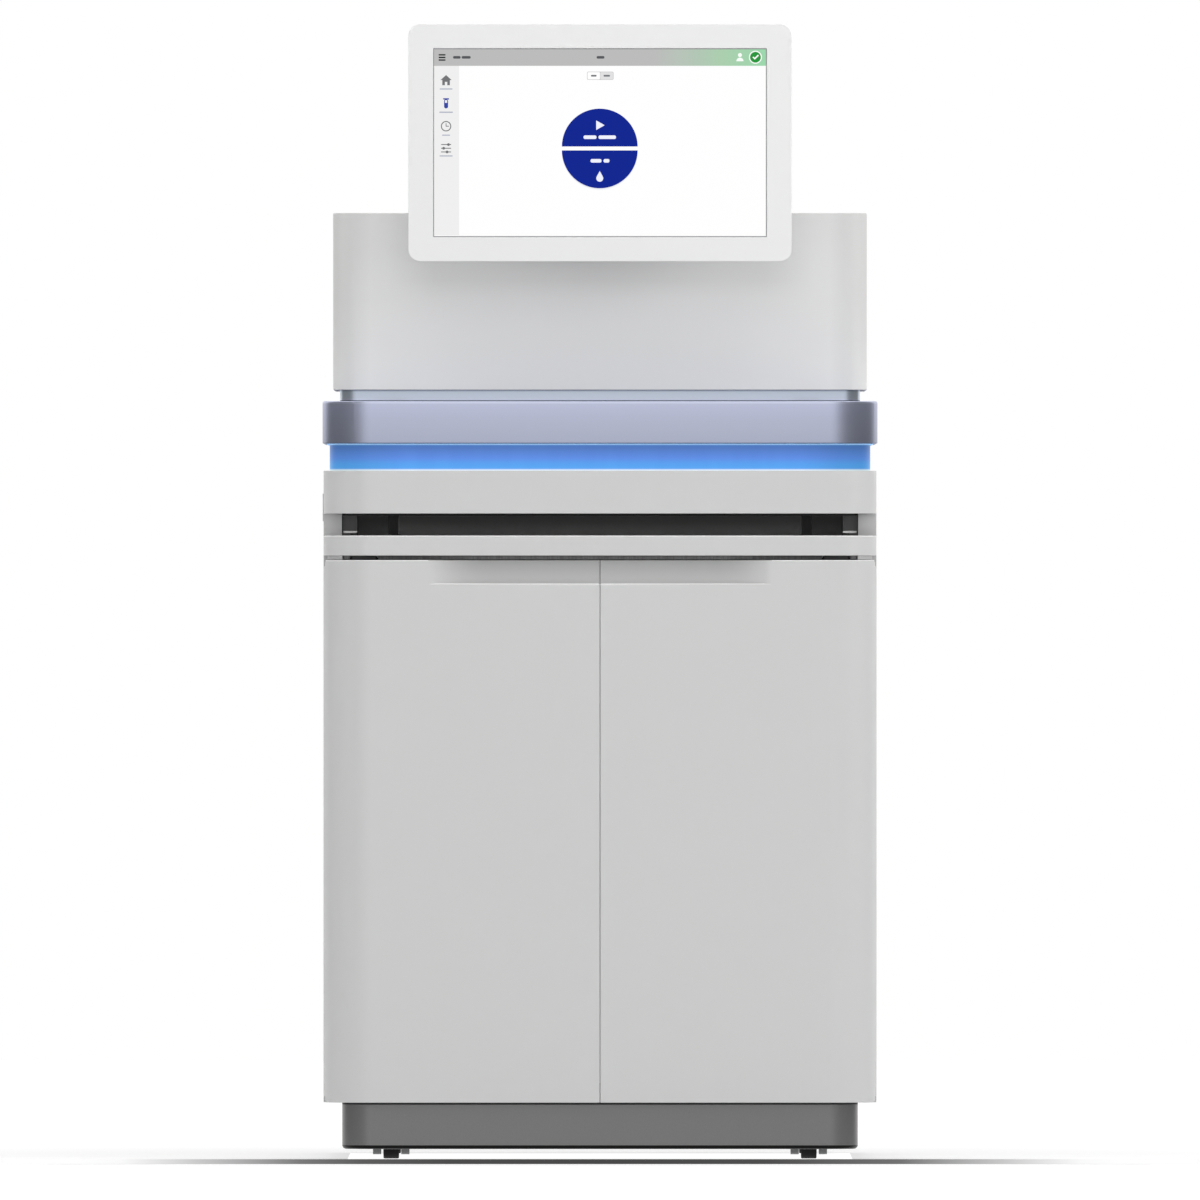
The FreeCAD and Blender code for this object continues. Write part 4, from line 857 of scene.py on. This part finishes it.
def flat_shape(mesh, outline, layer):
    """Adds one flat shape to the mesh, from its corners in dots, on a layer of the picture."""
    back = glass_face - layer * layer_depth
    ring = [mesh.verts.new(((u - dots_wide / 2) * dot, back, screen_middle + (dots_high / 2 - v) * dot))
            for u, v in outline]
    grown = bmesh.ops.extrude_face_region(mesh, geom=[mesh.faces.new(ring)], use_keep_orig=True)
    moved = [part for part in grown["geom"] if isinstance(part, bmesh.types.BMVert)]
    bmesh.ops.translate(mesh, vec=(0.0, -layer_depth, 0.0), verts=moved)


def arc(u, v, radius, start, end, steps=48):
    """Points on an arc, with angles in degrees clockwise from the right."""
    turns = [math.radians(start + (end - start) * step / steps) for step in range(steps + 1)]
    return [(u + radius * math.cos(turn), v + radius * math.sin(turn)) for turn in turns]


def disc(u, v, radius):
    return arc(u, v, radius, 0.0, 352.5, 47)


def bar(u0, v0, u1, v1, rounding=0.0):
    if not rounding:
        return [(u0, v0), (u1, v0), (u1, v1), (u0, v1)]
    corners = [(u1 - rounding, v0 + rounding, -90.0), (u1 - rounding, v1 - rounding, 0.0),
               (u0 + rounding, v1 - rounding, 90.0), (u0 + rounding, v0 + rounding, 180.0)]
    return [point for u, v, turn in corners for point in arc(u, v, rounding, turn, turn + 90.0, 6)]


def drop(u, v, size):
    return [(u, v - size)] + arc(u, v + size * 0.25, size * 0.6, -25.0, 205.0, 24)


picture = {
    "white_field": (glow_colour("screen_white_light", "ffffff"), 0,
                    [bar(1, 1, dots_wide - 1, dots_high - 1)]),
    "title_bar": (glow_colour("screen_bar_light", "bdbdbd", stops=[
        (0.0, "bcbcbc"), (0.66, "bcbcbc"), (0.74, "b8c4b9"), (0.80, "b1c8b5"), (0.86, "accfaf"),
        (0.93, "a4d3ae"), (1.0, "9bd9ad")]), 1, [bar(1, 1, dots_wide - 1, 17.6)]),
    "side_bar": (glow_colour("screen_side_light", "f0f0f0"), 1, [bar(1, 17.6, 26, 187)]),
    "round_shade": (glow_colour("screen_shade_light", "eceef4"), 1, [disc(166.75, 103.6, 37.9)]),
    "round_buttons": (glow_colour("screen_blue_light", "0d2591"), 2, [
        arc(166.75, 98.3, 37.9, 180.0, 360.0), arc(166.75, 102.2, 37.9, 0.0, 180.0)]),
    "round_split": (glow_colour("screen_split_light", "ffffff"), 3, [bar(128, 98.3, 206, 102.2)]),
    "button_marks": (glow_colour("screen_mark_light", "f2f4ff"), 4, [
        [(163.2, 72.2), (171.6, 77.0), (163.2, 81.8)],
        bar(150.5, 87.2, 163.5, 90.8, 1.6), bar(165.5, 87.2, 183.0, 90.8, 1.6),
        bar(157.5, 110.8, 168.5, 114.4, 1.6), bar(170.5, 110.8, 176.5, 114.4, 1.6),
        drop(166.75, 128.6, 5.8)]),
    "dark_marks": (glow_colour("screen_dark_light", "17181a"), 2, [
        bar(5.6, 5.9, 12.4, 7.3), bar(5.6, 8.5, 12.4, 9.9), bar(5.6, 11.1, 12.4, 12.5)]),
    "title_marks": (glow_colour("screen_title_light", "55575a"), 2, [
        bar(20.0, 7.8, 27.5, 10.4, 1.1), bar(28.6, 7.8, 37.6, 10.4, 1.1), bar(163.6, 7.8, 171.4, 10.4, 1.1)]),
    "person_mark": (glow_colour("screen_person_light", "fbfffb"), 2, [
        disc(307.0, 6.8, 2.0), arc(307.0, 13.0, 3.6, 180.0, 360.0)]),
    "ready_rim": (glow_colour("screen_rim_light", "fbfffb"), 2, [disc(322.5, 9.0, 6.5)]),
    "ready_disc": (glow_colour("screen_green_light", "26963a"), 3, [disc(322.5, 9.0, 5.4)]),
    "ready_tick": (glow_colour("screen_tick_light", "ffffff"), 4, [
        [(319.5, 9.2), (320.5, 8.2), (321.8, 9.5), (325.0, 6.4), (326.0, 7.4), (321.8, 11.4)]]),
    "switch_rim": (glow_colour("screen_switch_light", "c4c4c4"), 1, [bar(154.0, 23.4, 180.6, 31.6, 1.4)]),
    "switch_off": (glow_colour("screen_off_light", "e2e2e2"), 2, [bar(167.4, 23.9, 180.1, 31.1, 1.0)]),
    "switch_on": (glow_colour("screen_on_light", "ffffff"), 2, [bar(154.5, 23.9, 167.0, 31.1, 1.0)]),
    "switch_marks": (glow_colour("screen_switch_mark_light", "77797c"), 3, [
        bar(158.0, 26.6, 163.6, 28.4, 0.8), bar(170.6, 26.6, 177.0, 28.4, 0.8)]),
    "side_marks": (glow_colour("screen_grey_light", "747577"), 2, [
        [(7.4, 31.8), (13.0, 26.8), (18.6, 31.8)], bar(9.2, 31.8, 16.8, 37.0), disc(13.0, 78.0, 5.2),
        bar(8.0, 95.9, 18.0, 96.8), bar(8.0, 99.6, 18.0, 100.5), bar(8.0, 103.3, 18.0, 104.2),
        disc(15.4, 96.35, 1.4), disc(10.6, 100.05, 1.4), disc(14.0, 103.75, 1.4)]),
    "side_holes": (glow_colour("screen_hole_light", "f0f0f0"), 3,
                   [bar(11.8, 33.6, 14.2, 37.0), disc(13.0, 78.0, 4.2)]),
    "clock_hands": (glow_colour("screen_hand_light", "747577"), 4, [
        bar(12.6, 75.0, 13.4, 78.4), bar(12.6, 77.6, 15.8, 78.4)]),
    "side_blue": (glow_colour("screen_tube_light", "3446a4"), 2, [
        bar(10.0, 50.0, 16.0, 51.3, 0.5), bar(11.0, 51.0, 15.0, 60.2, 1.9)]),
    "tube_space": (glow_colour("screen_tube_space_light", "f0f0f0"), 3, [bar(11.9, 51.9, 14.1, 54.6)]),
    "side_names": (glow_colour("screen_name_light", "aeb2c2"), 2, [
        bar(6.6, 40.2, 19.4, 41.3, 0.5), bar(6.2, 63.4, 19.8, 64.6, 0.5), bar(9.0, 86.4, 17.0, 87.5, 0.5),
        bar(6.4, 107.2, 19.6, 108.3, 0.5)]),
}
for name, (light, layer, shapes) in picture.items():
    mesh = bmesh.new()
    for outline in shapes:
        flat_shape(mesh, outline, layer)
    bmesh.ops.recalc_face_normals(mesh, faces=mesh.faces)
    made = piece_from(mesh, "picture_" + name, light)
    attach(made, "monitor")


# Rear and services: a louvred steel panel on ten screws, the mains inlet, the data
# ports, and two fans behind finger guards.
dress(panel_coat, "rear_panel")
screw_finish = surface("screw_black", "303030", spread=0.1, roughness=0.35, fineness=900.0, metallic=0.7)
dress(screw_finish, "panel_screws")
port_black = surface("port_plastic", "2b2c2e", spread=0.08, roughness=0.42, fineness=900.0)
dress(port_black, "mains_inlet", "io_port_plate", "fan_housings")
dress(catch_black, "fan_rotor_left", "fan_rotor_right")
